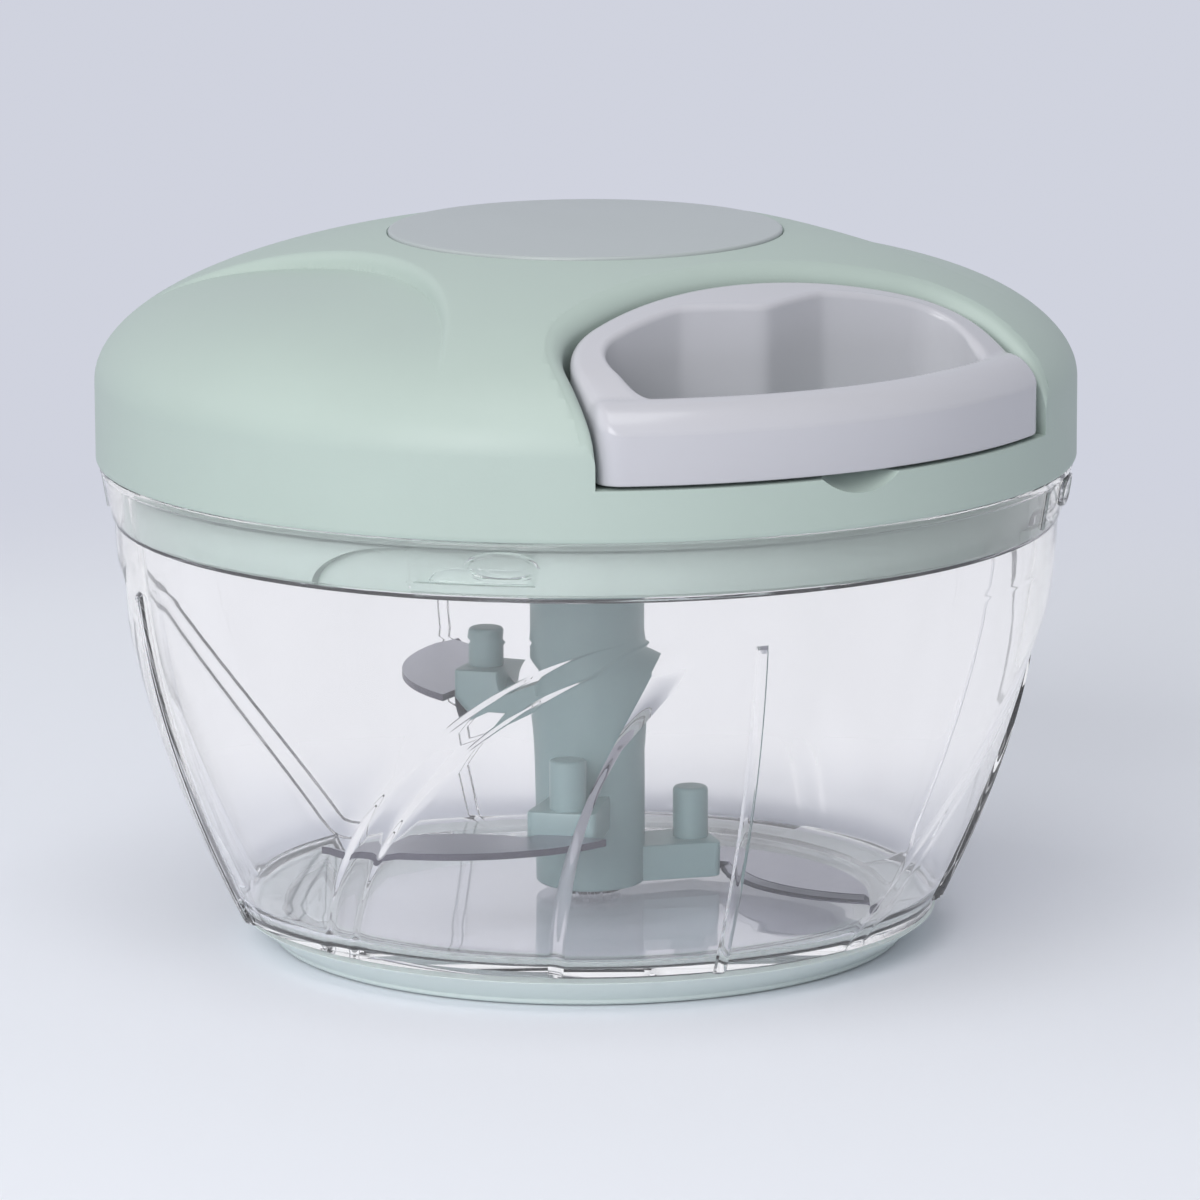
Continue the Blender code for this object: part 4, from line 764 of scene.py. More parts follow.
    def quarter(self, height: float) -> list[tuple[float, float]]:
        """Azimuths and insets of one quarter of the wall at a height, from a leaf's left edge on."""
        clamped = min(max(height, self.corner_z), self.collar_z)
        low = np.array([min(clamped, self.apex_z)])
        left = float(self.edge(self.left_edge, low)[0])
        deep = float(self.edge(self.deep_edge, low)[0])
        crest = deep + self.crest_width(low[0])
        leaf_left = min(left, deep - 5.0)
        around = self.radius(clamped) * math.pi / 180
        band = min(self.band_reach(low[0], left, deep)[0] / around, (deep - leaf_left) * 0.6)
        rib = self.rib_azimuth
        rib_half = self.rib_half / around
        places = (leaf_left, leaf_left + self.step_share * band, leaf_left + (1 - self.step_share) * band,
                  leaf_left + band, deep, crest, rib - rib_half, rib + rib_half, leaf_left + QUARTER)
        stops = zip(places, places[1:], (5, 4, 5, 14, 8, 6, 10, 14))
        made = []
        for start, end, count in stops:
            for step in range(count):
                azimuth = start + (end - start) * step / count
                leafed = clamped < self.apex_z + 0.2 * MM
                inset = self.inset(azimuth, clamped, left, deep, crest) if leafed else 0.0
                if abs(azimuth - rib) < rib_half * 1.001:
                    inset -= self.rib((azimuth - rib) * around, clamped)
                made.append((azimuth, inset))
        return made

    def build_wall(self) -> bpy.types.Object:
        """Closed mesh of the bowl, outside down from the rim and inside up again."""
        flare, bead = self.collar_flare, 0.45 * MM
        collar = self.shoulder + self.collar_step
        top = [(self.collar_inner, self.rim_z)]
        top += shifted(collar + flare + bead, self.rim_z, (-0.3, 0.0), (-0.08, -0.1), (0.0, -0.35), (0.0, -0.7))
        top += shifted(collar + flare, self.rim_z, (0.15, -0.95), (-0.02, -1.2))
        fall = self.collar_z - self.rim_z + 1.5 * MM
        top += [(collar + flare * (1 - share), self.rim_z - 1.2 * MM + fall * share) for share in (0.25, 0.5, 0.75)]
        top += shifted(collar, self.collar_z, (0.03, 0.4), (-0.1, 0.1))
        top += shifted(self.shoulder, self.collar_z, (0.12, -0.05))
        section = [(radius, height, False) for radius, height in top]
        for row in range(self.rows + 1):
            height = self.collar_z - 0.3 * MM + (self.corner_z - self.collar_z + 0.3 * MM) * row / self.rows
            section.append((self.radius(height), height, True))
        corner = shifted(self.foot, self.corner_z, (-0.15, -0.3), (-0.5, -0.55), (-0.9, -0.7))
        section += [(radius, height, True) for radius, height in corner]
        ring, ring_wall, ring_z = 39.3 * MM, 2.2 * MM, 1.5 * MM
        low = [(ring, self.under_z + 0.9 * MM), (ring, ring_z), (ring - ring_wall, ring_z)]
        low += [(reach, self.under_z) for reach in (ring - ring_wall, 20 * MM, 0.0)]
        section += [(radius, height, False) for radius, height in low]
        pin, boss, boss_top = 2.3 * MM, 4.0 * MM, self.floor_z + 2.2 * MM
        foot = self.radius(self.floor_z + 4 * MM) - self.wall
        inside = [(reach, self.under_z + 0.8 * MM) for reach in (0.0, pin)]
        inside += [(pin, boss_top)] + shifted(boss, boss_top, (-0.3, 0.0), (0.0, -0.3))
        inside += shifted(boss, self.floor_z, (0.0, 0.4), (0.4, 0.0)) + [(20 * MM, self.floor_z)]
        rounding = ((-4.6, 0.0), (-3.4, 0.12), (-2.2, 0.55), (-1.2, 1.4), (-0.4, 2.8))
        inside += shifted(foot, self.floor_z, *rounding)
        count = 40
        for row in range(count + 1):
            height = self.floor_z + 4.2 * MM + (self.collar_z - 1.2 * MM - self.floor_z - 4.2 * MM) * row / count
            inside.append((self.radius(height) - self.wall, height))
        inside += shifted(self.collar_inner, self.collar_z, (-0.35, -0.75), (0.0, -0.3))
        section += [(radius, height, False) for radius, height in inside]

        mesh = bmesh.new()
        rings = [self.wall_ring(mesh, *level) for level in section]
        closed_round(mesh, rings)
        bmesh.ops.recalc_face_normals(mesh, faces=mesh.faces)
        return mesh_object("clear_bowl", mesh)

    def wall_ring(
        self, mesh: bmesh.types.BMesh, radius: float, height: float, leafed: bool
    ) -> list[bmesh.types.BMVert]:
        """Ring of vertices at one level of the wall, or a pole.

        Args:
            mesh: the bmesh to add to.
            radius: plain radius of the level.
            height: its height.
            leafed: shapes the level by the leaves and ribs.

        Returns:
            The vertices in order.
        """
        if radius == 0.0:
            return [mesh.verts.new((0.0, 0.0, height))]
        columns = self.quarter(height)
        ring = []
        for quarter in range(QUARTERS):
            for azimuth, inset in columns:
                reach = radius
                if leafed:
                    reach = min(radius, self.radius(height) - inset) if inset > 0 else radius - inset
                ring.append(mesh.verts.new(placed(azimuth + QUARTER * quarter, reach, height)))
        return ring

    def collar_radius(self, height: float) -> float:
        """Outer radius of the collar at a height."""
        share = (height - self.collar_z) / (self.rim_z - 1.0 * MM - self.collar_z)
        return self.shoulder + self.collar_step + self.collar_flare * min(max(share, 0.0), 1.0)

    def collar_marks(self, index: int) -> list[bpy.types.Object]:
        """Raised oval ring and two fine mould lines of one quarter of the collar."""
        middle = QUARTER * index + self.mark_azimuth
        across, tall, thick = 4.3 * MM, 1.7 * MM, 0.4 * MM
        steps, sides = 56, 10
        oval = []
        for step in range(steps):
            angle = 2 * math.pi * step / steps
            ring = []
            for corner in range(sides):
                turn = 2 * math.pi * corner / sides
                grow = thick * math.cos(turn)
                aside, up = (across + grow) * math.cos(angle), (tall + grow) * math.sin(angle)
                level = self.mark_z + up
                reach = self.collar_radius(level) + 1.5 * thick * math.sin(turn)
                ring.append(placed(middle + math.degrees(aside / self.collar_radius(level)), reach, level))
            oval.append(ring)
        made = [solid_through(f"oval_{index}", oval, closed=True)]
        ends = (self.collar_z + 0.55 * MM, self.rim_z - 1.35 * MM)
        half_width, proud, sides = 0.25 * MM, 0.4 * MM, 8
        for azimuth in (middle - 11.1, middle + 11.7):
            aside, out = heading(azimuth + QUARTER), heading(azimuth)
            rings = []
            for level in ends:
                core = placed(azimuth, self.collar_radius(level) - 0.02 * MM, level)
                turns = [2 * math.pi * corner / sides for corner in range(sides)]
                rings.append([
                    core + (aside * half_width * math.cos(turn) + out * proud * math.sin(turn)) for turn in turns
                ])
            made.append(solid_through(f"line_{index}_{len(made)}", rings))
        return made

    def build(self) -> None:
        """Makes the bowl, its foot ring and its pin."""
        bowl = self.build_wall()
        additions = []
        lug_foot, lug_height, rounded = 57.5, 1.7, 3.2
        inner, outer = self.collar_inner - 1.3 * MM, self.collar_inner + 0.3 * MM
        for index in range(QUARTERS):
            middle = self.lug_azimuth + QUARTER * index
            left, right = middle - 5.6, middle + 6.4

            def top(azimuth: float, left: float = left) -> float:
                """Upper edge of a lug, rounded at its left end."""
                share = min((azimuth - left) / rounded, 1.0)
                return (lug_foot + lug_height * math.sqrt(max(1 - (1 - share) ** 2, 0.02))) * MM

            additions.append(arc_block(f"lug_{index}", inner, outer, lambda azimuth: lug_foot * MM, top, left, right))
        for index in range(QUARTERS):
            additions += self.collar_marks(index)
        bored(bowl, additions, "UNION")
        smooth(face_out(bowl), 24.0)
        dress(bowl, self.finishes.clear, Body.BOWL, ["bowl"])

        gap = 0.3 * MM
        ring_top = (self.under_z + 0.9 * MM - gap) / MM
        section = [
            (35.2, 0.0), (39.8, 0.0), (40.6, 0.15), (41.0, 0.45), (41.0, 0.9), (45.2, ring_top),
            (39.6, ring_top - 0.2), (39.6, 1.2), (36.8, 1.2), (36.8, 3.1), (35.2, 3.1), (35.2, 0.0),
        ]
        # The foot ring's paler sage holds painted light.
        ring = self.turning.turn("foot_ring", section, self.finishes.foot, 0.25, 192)
        dress(ring, self.finishes.foot, Body.BOWL, ["base_ring"])
        pin = [(0.0, 4.5), (1.7, 4.5), (2.0, 4.8), (2.0, 25.5), (1.5, 26.0), (0.0, 26.0)]
        shaft = self.turning.turn("pivot_shaft", pin, self.finishes.turned_steel, 0.2, 48)
        dress(shaft, self.finishes.turned_steel, Body.BOWL, ["pivot_pin"])


def arc_block(name: str, inner: float, outer: float, low: Heights, high: Heights,
              start: float, end: float, count: int = 16) -> bpy.types.Object:
    """Solid between two radii whose lower and upper heights follow the azimuth.

    Args:
        name: object name.
        inner: inner radius.
        outer: outer radius.
        low: lower height for an azimuth.
        high: upper height for an azimuth.
        start: first azimuth.
        end: last azimuth.
        count: segments along.

    Returns:
        The solid.
    """
    rings = []
    for step in range(count + 1):
        azimuth = start + (end - start) * step / count
        bottom, top = low(azimuth), high(azimuth)
        corners = ((inner, bottom), (outer, bottom), (outer, top), (inner, top))
        rings.append([placed(azimuth, reach, height) for reach, height in corners])
    return solid_through(name, rings)


def solid_through(name: str, rings: Sequence[Sequence[Sequence[float]]], closed: bool = False) -> bpy.types.Object:
    """Solid whose skin runs through rings of points.

    Args:
        name: object name.
        rings: lists of points of equal length.
        closed: joins the last ring to the first, in place of caps.

    Returns:
        The solid, facing out.
    """
    mesh = bmesh.new()
    made = [[mesh.verts.new(point) for point in ring] for ring in rings]
    pairs = list(zip(made, made[1:]))
    if closed:
        pairs.append((made[-1], made[0]))
    for lower, upper in pairs:
        for index, corner in enumerate(lower):
            after = (index + 1) % len(lower)
            mesh.faces.new((corner, lower[after], upper[after], upper[index]))
    if not closed:
        mesh.faces.new(list(reversed(made[0])))
        mesh.faces.new(made[-1])
    bmesh.ops.recalc_face_normals(mesh, faces=mesh.faces)
    return mesh_object(name, mesh)


@dataclass
class HandlePlan:
    """Plan outline shared by the pull handle, its finger hole and its recess in the lid."""

    back: float = 32.3 * MM
    bow: float = 66.0 * MM
    side: float = 20.2 * MM
    slope: float = 0.24
    front: float = 62.7 * MM
    back_corner: float = 6.0 * MM
    front_corner: float = 2.5 * MM
    bump: float = 0.0
    bump_half: float = 10.8 * MM
    bump_round: float = 1.2 * MM
    back_steps: int = 44
    side_steps: int = 14
    front_steps: int = 30

    def outline(self) -> list[Pair]:
        """Clockwise outline: a bowed back, two straight sides and a front on a circle round the axis."""

        def back_y(x: float) -> float:
            """Y of the back's bow."""
            return -(self.back + self.bow) + math.sqrt(self.bow**2 - x**2)

        end = self.side + self.slope * self.back - self.back_corner
        drop = end / math.sqrt(self.bow**2 - end**2)
        control_y = back_y(end) - drop * self.back_corner
        control = Vector((self.side - self.slope * control_y, control_y))
        side_y = control_y - self.back_corner
        squared = 1 + self.slope**2
        root = math.sqrt((self.side * self.slope) ** 2 + squared * (self.front**2 - self.side**2))
        front = (-self.side * self.slope + root) / squared
        corner = Vector((self.side + self.slope * front, -front))
        along = (corner - control).normalized()
        angle = math.degrees(math.atan2(corner.x, -corner.y) - self.front_corner / self.front)
        right: list[Pair] = []
        for step in range(self.back_steps):
            x = end * step / self.back_steps
            share = 1 - math.hypot(x, self.bump_round) / self.bump_half
            soft = 0.5 * (share + math.sqrt(share * share + 0.004))
            right.append((x, back_y(x) - self.bump * soft * smoothstep((end - x) / (3 * MM))))
        side_start = Vector((self.side - self.slope * side_y, side_y))
        right += curve_points(Vector((end, back_y(end))), control, side_start, 12)
        before = corner - along * self.front_corner
        for step in range(1, self.side_steps):
            point = side_start.lerp(before, step / self.side_steps)
            right.append((point.x, point.y))
        right += curve_points(before, corner, (heading(angle) * self.front).to_2d(), 10)
        for step in range(1, self.front_steps + 1):
            point = heading(angle * (1 - step / self.front_steps)) * self.front
            right.append((point.x, point.y))
        return right + [(-x, y) for x, y in reversed(right[1:-1])]


def grown(outline: Sequence[Pair], distances: Union[float, Sequence[float]]) -> list[Pair]:
    """Clockwise outline moved outwards by one distance, or by one for each point."""
    moved = []
    for index, (x, y) in enumerate(outline):
        distance = distances if isinstance(distances, float) else distances[index]
        after = Vector(outline[(index + 1) % len(outline)])
        along = (after - Vector(outline[index - 1])).normalized()
        moved.append((x - along.y * distance, y + along.x * distance))
    return moved


@dataclass
class Dome:
    """Outside of the lid: a dome over a straight side, with two finger grips."""

    radius: float = 63.0 * MM
    side_top: float = 73.4 * MM
    rise: float = 20.4 * MM
    exponent: float = 1.91
    disc: float = 25.3 * MM
    disc_floor: float = 90.7 * MM
    grip_centre: float = 77.4 * MM
    grip_radius: float = 47.0 * MM
    grip_depth: float = 2.0 * MM
    grip_band: float = 1.4 * MM
    fade_start: float = 31.0 * MM
    fade_end: float = 59.0 * MM

    def height(self, reach: float) -> float:
        """Height of the plain dome at a distance from the axis."""
        share = min(reach / self.radius, 1.0)
        return self.side_top + self.rise * math.sqrt(1 - share**self.exponent)

    def wall_distance(self, x: float, y: float) -> float:
        """How far inside the wall of its finger grip a point lies."""
        return self.grip_radius + 1.0 * MM - math.hypot(abs(x) - self.grip_centre, y)

    def grip(self, x: float, y: float) -> float:
        """Depth of the finger grips at a point: a wall that rolls over, and a floor that fades outwards."""
        away = self.wall_distance(x, y)
        if away <= 0:
            return 0.0
        reach = math.hypot(x, y)
        fade = 1 - smoothstep((reach - self.fade_start) / (self.fade_end - self.fade_start))
        floor = self.grip_depth * fade
        share = min(away / self.grip_band, 1.0)
        wall = (self.grip_depth * 1.2) * (1 - math.sqrt(1 - share * share))
        return min(floor, wall) if share < 1 else floor


@dataclass
class SageLid:
    """Lid cover with its seal, plate, screws and disc."""

    finishes: Finishes
    turning: TurningTree
    dome: Dome = field(default_factory=Dome)
    columns: int = 320
    dome_rows: int = 84
    inner_rows: int = 17
    under_disc: float = 88.3 * MM
    skirt: float = 58.6 * MM
    skirt_wall: float = 2.6 * MM
    skirt_z: float = 56.0 * MM
    edge_z: float = 63.1 * MM
    groove_z: float = 65.0 * MM
    wall: float = 2.0 * MM
    recess_z: float = 69.6 * MM
    recess_gap: float = 0.9 * MM
    flare: float = 2.5 * MM
    lug_azimuth: float = -46.8

    def build_shell(self) -> bpy.types.Object:
        """Dome, side, groove and skirt as one closed mesh."""
        mesh = bmesh.new()
        on_dome = mesh.verts.layers.float.new("on_dome")
        rings = []
        for reach, height, gripped in self.section():
            count = self.columns if reach else 1
            ring = [mesh.verts.new(placed(360.0 * column / count, reach, height)) for column in range(count)]
            for corner in ring:
                corner[on_dome] = float(gripped)
            rings.append(ring)
        closed_round(mesh, rings)
        self.sink_grips(mesh, on_dome)
        bmesh.ops.recalc_face_normals(mesh, faces=mesh.faces)
        return mesh_object("sage_lid", mesh)

    def section(self) -> list[tuple[float, float, bool]]:
        """Section of the shell from the pole outside to the pole inside, and whether the grips shape a point."""
        dome = self.dome
        inner = dome.radius - self.wall
        section = [(0.0, dome.disc_floor, False), (dome.disc, dome.disc_floor, False)]
        for row in range(self.dome_rows + 1):
            angle = math.pi / 2 * (1 - row / self.dome_rows)
            reach = dome.disc + (dome.radius - dome.disc) * math.cos(angle)
            if row == 0:
                section.append((reach, dome.height(reach) - 0.25 * MM, False))
                reach += 0.2 * MM
            section.append((reach, dome.height(reach), True))
        for share in (0.25, 0.5, 0.75, 0.93):
            section.append((dome.radius, dome.side_top + (self.edge_z - dome.side_top) * share, False))
        skirt_in, ceiling = self.skirt - self.skirt_wall, self.groove_z + 1.6 * MM
        below = shifted(dome.radius, self.edge_z, (0.0, 0.4), (-0.12, 0.12), (-0.4, 0.0))
        below += [(inner, self.edge_z), (inner, self.groove_z), (self.skirt, self.groove_z)]
        below += shifted(self.skirt, self.skirt_z, (0.0, 0.3), (-0.3, 0.0))
        below += [(skirt_in, self.skirt_z), (skirt_in, ceiling), (inner, ceiling)]
        for row in range(self.inner_rows):
            reach = dome.disc + (inner - dome.disc) * math.cos(math.pi / 2 * row / self.inner_rows)
            share = reach / inner
            height = dome.side_top + (dome.rise - 3.6 * MM) * math.sqrt(max(1 - share**dome.exponent, 0.0))
            below.append((reach, min(height, self.under_disc)))
        below += [(dome.disc, self.under_disc), (0.0, self.under_disc)]
        return section + [(reach, height, False) for reach, height in below]

    def sink_grips(self, mesh: bmesh.types.BMesh, on_dome: bmesh.types.BMLayerItem) -> None:
        """Gives the dome finer faces near the walls of the grips, and sinks its vertices into them.

        Args:
            mesh: the shell.
            on_dome: layer that is 1 at the vertices that the grips shape.
        """
        dome = self.dome
        near = set()
        for face in mesh.faces:
            middle = face.calc_center_median()
            if all(corner[on_dome] > 0.99 for corner in face.verts) and middle.xy.length < dome.fade_end + 1 * MM:
                if -1.0 * MM < dome.wall_distance(middle.x, middle.y) < dome.grip_band + 0.8 * MM:
                    near.update(face.edges)
        bmesh.ops.subdivide_edges(mesh, edges=list(near), cuts=3, use_grid_fill=True)
        for corner in mesh.verts:
            if corner[on_dome] > 0.99:
                corner.co.z = dome.height(corner.co.xy.length) - dome.grip(corner.co.x, corner.co.y)

    def recess_cutter(self) -> bpy.types.Object:
        """Space of the handle's recess, whose edge on the dome is rounded over."""
        outline = HandlePlan(front=69.0 * MM).outline()
        base = grown(outline, self.recess_gap)
        widths = []
        for x, y in base:
            front = smoothstep((-y - 47 * MM) / (12 * MM))
            widths.append(self.flare * (1 - 0.75 * front))
        levels = [[(x, y, self.recess_z) for x, y in base]]
        for degrees in (0, 12, 24, 36, 48, 60, 70, 80):
            angle = math.radians(degrees)
            outs = [width * (1 - math.cos(angle)) for width in widths]
            ring = grown(outline, [self.recess_gap + out for out in outs])
            lowest = self.recess_z + (1 + degrees / 80) * MM
            level = []
            for (x, y), width in zip(ring, widths):
                fall = -0.92 * width * (1 - math.sin(angle))
                level.append((x, y, max(self.dome.height(math.hypot(x, y)) + fall, lowest)))
            levels.append(level)
        last = grown(outline, [self.recess_gap + width * 0.93 for width in widths])
        lowest = self.recess_z + 3 * MM
        levels.append([(x, y, max(self.dome.height(math.hypot(x, y)) + 0.12 * MM, lowest)) for x, y in last])
        levels.append([(x, y, 100 * MM) for x, y in last])
        return solid_through("recess_space", levels)

    def recess_walls(self) -> bpy.types.Object:
        """Material round the recess, kept inside the lid."""
        outline = grown(HandlePlan(front=60.0 * MM).outline(), self.recess_gap + self.wall)
        walls = solid_through("recess_walls", [[(x, y, height * MM) for x, y in outline] for height in (67.2, 96)])
        low, reach, side, rise, cap, steps = 60.0, 62.0, 73.4, 18.6, 89.5, 16
        envelope = [(0.0, low), (reach, low), (reach, side)]
        for step in range(1, steps + 1):
            share = math.sin(math.pi / 2 * (1 - step / steps))
            envelope.append((reach * share, min(side + rise * math.sqrt(1 - share**self.dome.exponent), cap)))
        inside = self.turning.turn("lid_space", envelope + [(0.0, low)], self.finishes.sage, 0.0, 96)
        return bored(walls, [inside], "INTERSECT")

    def thumb_cutter(self) -> bpy.types.Object:
        """Ball that scoops room for the thumb in front of the handle."""
        thumb = bmesh.new()
        radius, depth = 9.0 * MM, 2.2 * MM
        bmesh.ops.create_uvsphere(thumb, u_segments=64, v_segments=40, radius=radius)
        middle = (-1.4 * MM, -64.5 * MM, self.recess_z - depth + radius)
        bmesh.ops.translate(thumb, verts=thumb.verts, vec=middle)
        return mesh_object("thumb_space", thumb)

    def slot_cutter(self, index: int) -> bpy.types.Object:
        """Bayonet slot in the skirt: open below over its entry, then closed by a ledge."""
        base, ledge, top = 55.0 * MM, 57.2 * MM, 61.4 * MM
        rounded, entry = 12.8, 13.6
        middle = self.lug_azimuth + QUARTER * index
        start, end = middle - 21.6, middle + 7.2

        def slot_top(azimuth: float) -> float:
            """Top of the slot, with a quarter of an ellipse at its left end."""
            share = min((azimuth - start) / rounded, 1.0)
            return base + (top - base) * math.sqrt(max(1 - (1 - share) ** 2, 0.0004))

        def slot_foot(azimuth: float) -> float:
            """Bottom of the slot, open over the entry."""
            return 54.9 * MM if azimuth < start + entry else ledge

        return arc_block(f"slot_{index}", 57.3 * MM, 60.7 * MM, slot_foot, slot_top, start, end, 71)

    def build_cover(self) -> None:
        """Cuts the recess, the thumb scoop and the bayonet slots, and dresses the cover."""
        cover = self.build_shell()
        bored(cover, [self.recess_walls()], "UNION")
        slots = [self.slot_cutter(index) for index in range(QUARTERS)]
        bored(cover, [self.recess_cutter(), self.thumb_cutter(), *slots], "DIFFERENCE")
        smooth(face_out(cover), 30.0)
        dress(cover, self.finishes.sage, Body.LID, ["lid_cover"])

    def build_fixtures(self) -> None:
        """Makes the disc, the seal and the plate with its screws."""
        turn = self.turning.turn
        finishes = self.finishes
        disc = [(0.0, 91.0), (25.27, 91.0), (25.27, 92.3), (0.0, 92.3)]
        piece = turn("top_medallion", disc, finishes.disc, 0.45, 256, 5)
        dress(piece, finishes.disc, Body.LID, ["top_disc"])
        seal = [(58.9, 63.2), (60.7, 63.2), (60.7, 64.7), (58.9, 64.7), (58.9, 63.2)]
        piece = turn("rim_seal", seal, finishes.rubber, 0.4, 192, 4)
        dress(piece, finishes.rubber, Body.SEAL, ["lid_seal"])
        plate = [(5.3, 60.0), (55.7, 60.0), (55.7, 61.8), (6.9, 61.8), (6.9, 63.3), (5.3, 63.3), (5.3, 60.0)]
        piece = turn("closing_plate", plate, finishes.works, 0.3, 192)
        dress(piece, finishes.works, Body.LID, ["lid_plate"])
        screw = [(0.0, 58.9), (1.0, 58.9), (1.2, 58.2), (2.2, 58.2), (2.8, 58.7), (2.8, 59.7), (1.4, 59.7),
                 (1.4, 67.7), (0.0, 68.7)]
        piece = turn("plate_screws", screw, finishes.turned_steel, 0.25, 36, spots=6, circle=46.0 * MM,
                     skipped=6 * MM)
        dress(piece, finishes.turned_steel, Body.LID, [f"plate_screw_{index}" for index in (1, 2, 3, 4)])


@dataclass
class PullHandle:
    """Grey pull handle with its finger hole and the pocket for the knot."""

    finishes: Finishes
    plan: HandlePlan
    hole: HandlePlan
    dome: Dome = field(default_factory=Dome)
    under_z: float = 70.0 * MM
    under_edge: float = 0.4 * MM
    below_dome: float = 1.4 * MM
    crease_z: float = 76.2 * MM
    brow_start: float = 57.8 * MM
    side_roll: float = 2.4 * MM
    roll_end: float = 0.9
    crease_edge: float = 0.2 * MM
    edge: float = 1.3 * MM
    hole_edge: float = 1.1 * MM

    def top(self, x: float, y: float) -> float:
        """Height of the handle's top, which rolls down to the crease along the front."""
        reach = math.hypot(x, y)
        side_start, side_fade, side_share, norm = 52 * MM, 9 * MM, 0.6, 4
        plain = self.dome.height(min(reach, self.brow_start)) - self.below_dome
        front = max(reach - self.brow_start, 0.0) / (self.plan.front + 0.04 * MM - self.brow_start)
        inside = (self.plan.side - self.plan.slope * y - abs(x)) / math.hypot(1.0, self.plan.slope)
        side = min(max(1 - inside / self.side_roll, 0.0), 1.0) * smoothstep((reach - side_start) / side_fade)
        share = self.roll_end * min((min(front, 1.0) ** norm + (side_share * side) ** norm) ** (1 / norm), 1.0)
        left_over = math.sqrt(1 - self.roll_end**2)
        return self.crease_z + (plain - self.crease_z) * (math.sqrt(1 - share**2) - left_over) / (1 - left_over)

    def edge_size(self, outer: Vector) -> float:
        """Size of the rounded outer edge, which is fine along the front's crease."""
        away = smoothstep((self.plan.front - outer.length) / (1.2 * MM))
        return self.crease_edge + (self.edge - self.crease_edge) * away

    def rolled(self, foot: Vector, inward: Vector, size: float, crown: Optional[float] = None) -> list[Vector]:
        """Points up a rounded edge.

        Args:
            foot: its lowest point in plan.
            inward: the way to the top's side of it.
            size: its radius.
            crown: height that it rises to. Without it, the top's own height at each point.

        Returns:
            Its points, from the foot up.
        """
        made, spans = [], 7
        for step in range(spans + 1):
            angle = math.pi / 2 * step / spans
            point = foot + inward * size * (1 - math.cos(angle))
            level = self.top(point.x, point.y) if crown is None else crown
            made.append(Vector((point.x, point.y, level - size * (1 - math.sin(angle)))))
        return made

    def slice(self, outer: Vector, inner: Vector) -> list[Vector]:
        """Section of the handle from a point of its outline to the matching point of the finger hole.

        Args:
            outer: point of the outline, in plan.
            inner: point of the hole's outline.

        Returns:
            The section's points, from the underside up the outer edge and down in the hole.
        """
        across = (inner - outer).normalized()
        ring = []
        for share in (0.0, 0.5, 1.0):
            angle = math.pi / 2 * share
            point = outer + across * self.under_edge * (1 - math.sin(angle))
            ring.append(Vector((point.x, point.y, self.under_z + self.under_edge * (1 - math.cos(angle)))))
        ring += self.rolled(outer, across, self.edge_size(outer))
        anchor = inner - across * self.hole_edge
        corner = self.rolled(inner, -across, self.hole_edge, self.top(anchor.x, anchor.y))[::-1]
        first, last, spans = ring[-1], corner[0], 11
        for step in range(1, spans):
            point = first.lerp(last, (step / spans) ** 1.5)
            ring.append(Vector((point.x, point.y, self.top(point.x, point.y))))
        return ring + corner + [inner + Vector((0, 0, self.under_z))]

    def build(self) -> None:
        """Makes the handle."""
        outlines = zip(self.plan.outline(), self.hole.outline())
        rings = [self.slice(Vector((*outside, 0.0)), Vector((*inside, 0.0))) for outside, inside in outlines]
        handle = solid_through("pull_grip", rings, closed=True)
        pocket = cylinder("pocket", 2.8 * MM, 69.0 * MM, 77.2 * MM, -36.6 * MM, 48)
        bore, bore_radius = bmesh.new(), 1.2 * MM
        bmesh.ops.create_cone(
            bore, cap_ends=True, segments=40, radius1=bore_radius, radius2=bore_radius, depth=7 * MM
        )
        bmesh.ops.rotate(bore, verts=bore.verts, matrix=Matrix.Rotation(math.pi / 2, 3, "X"))
        bmesh.ops.translate(bore, verts=bore.verts, vec=(0, -33.4 * MM, 74.4 * MM))
        bored(handle, [pocket, mesh_object("cord_bore", bore)], "DIFFERENCE")
        smooth(face_out(handle), 30.0)
        dress(handle, self.finishes.grey, Body.HANDLE, ["pull_handle"])


def cylinder(name: str, radius: float, low: float, high: float, y: float, segments: int) -> bpy.types.Object:
    """Plain upright cylinder that serves as a cutter."""
    mesh = bmesh.new()
    bmesh.ops.create_cone(mesh, cap_ends=True, segments=segments, radius1=radius, radius2=radius, depth=high - low)
    bmesh.ops.translate(mesh, verts=mesh.verts, vec=(0, y, (low + high) / 2))
    return mesh_object(name, mesh)


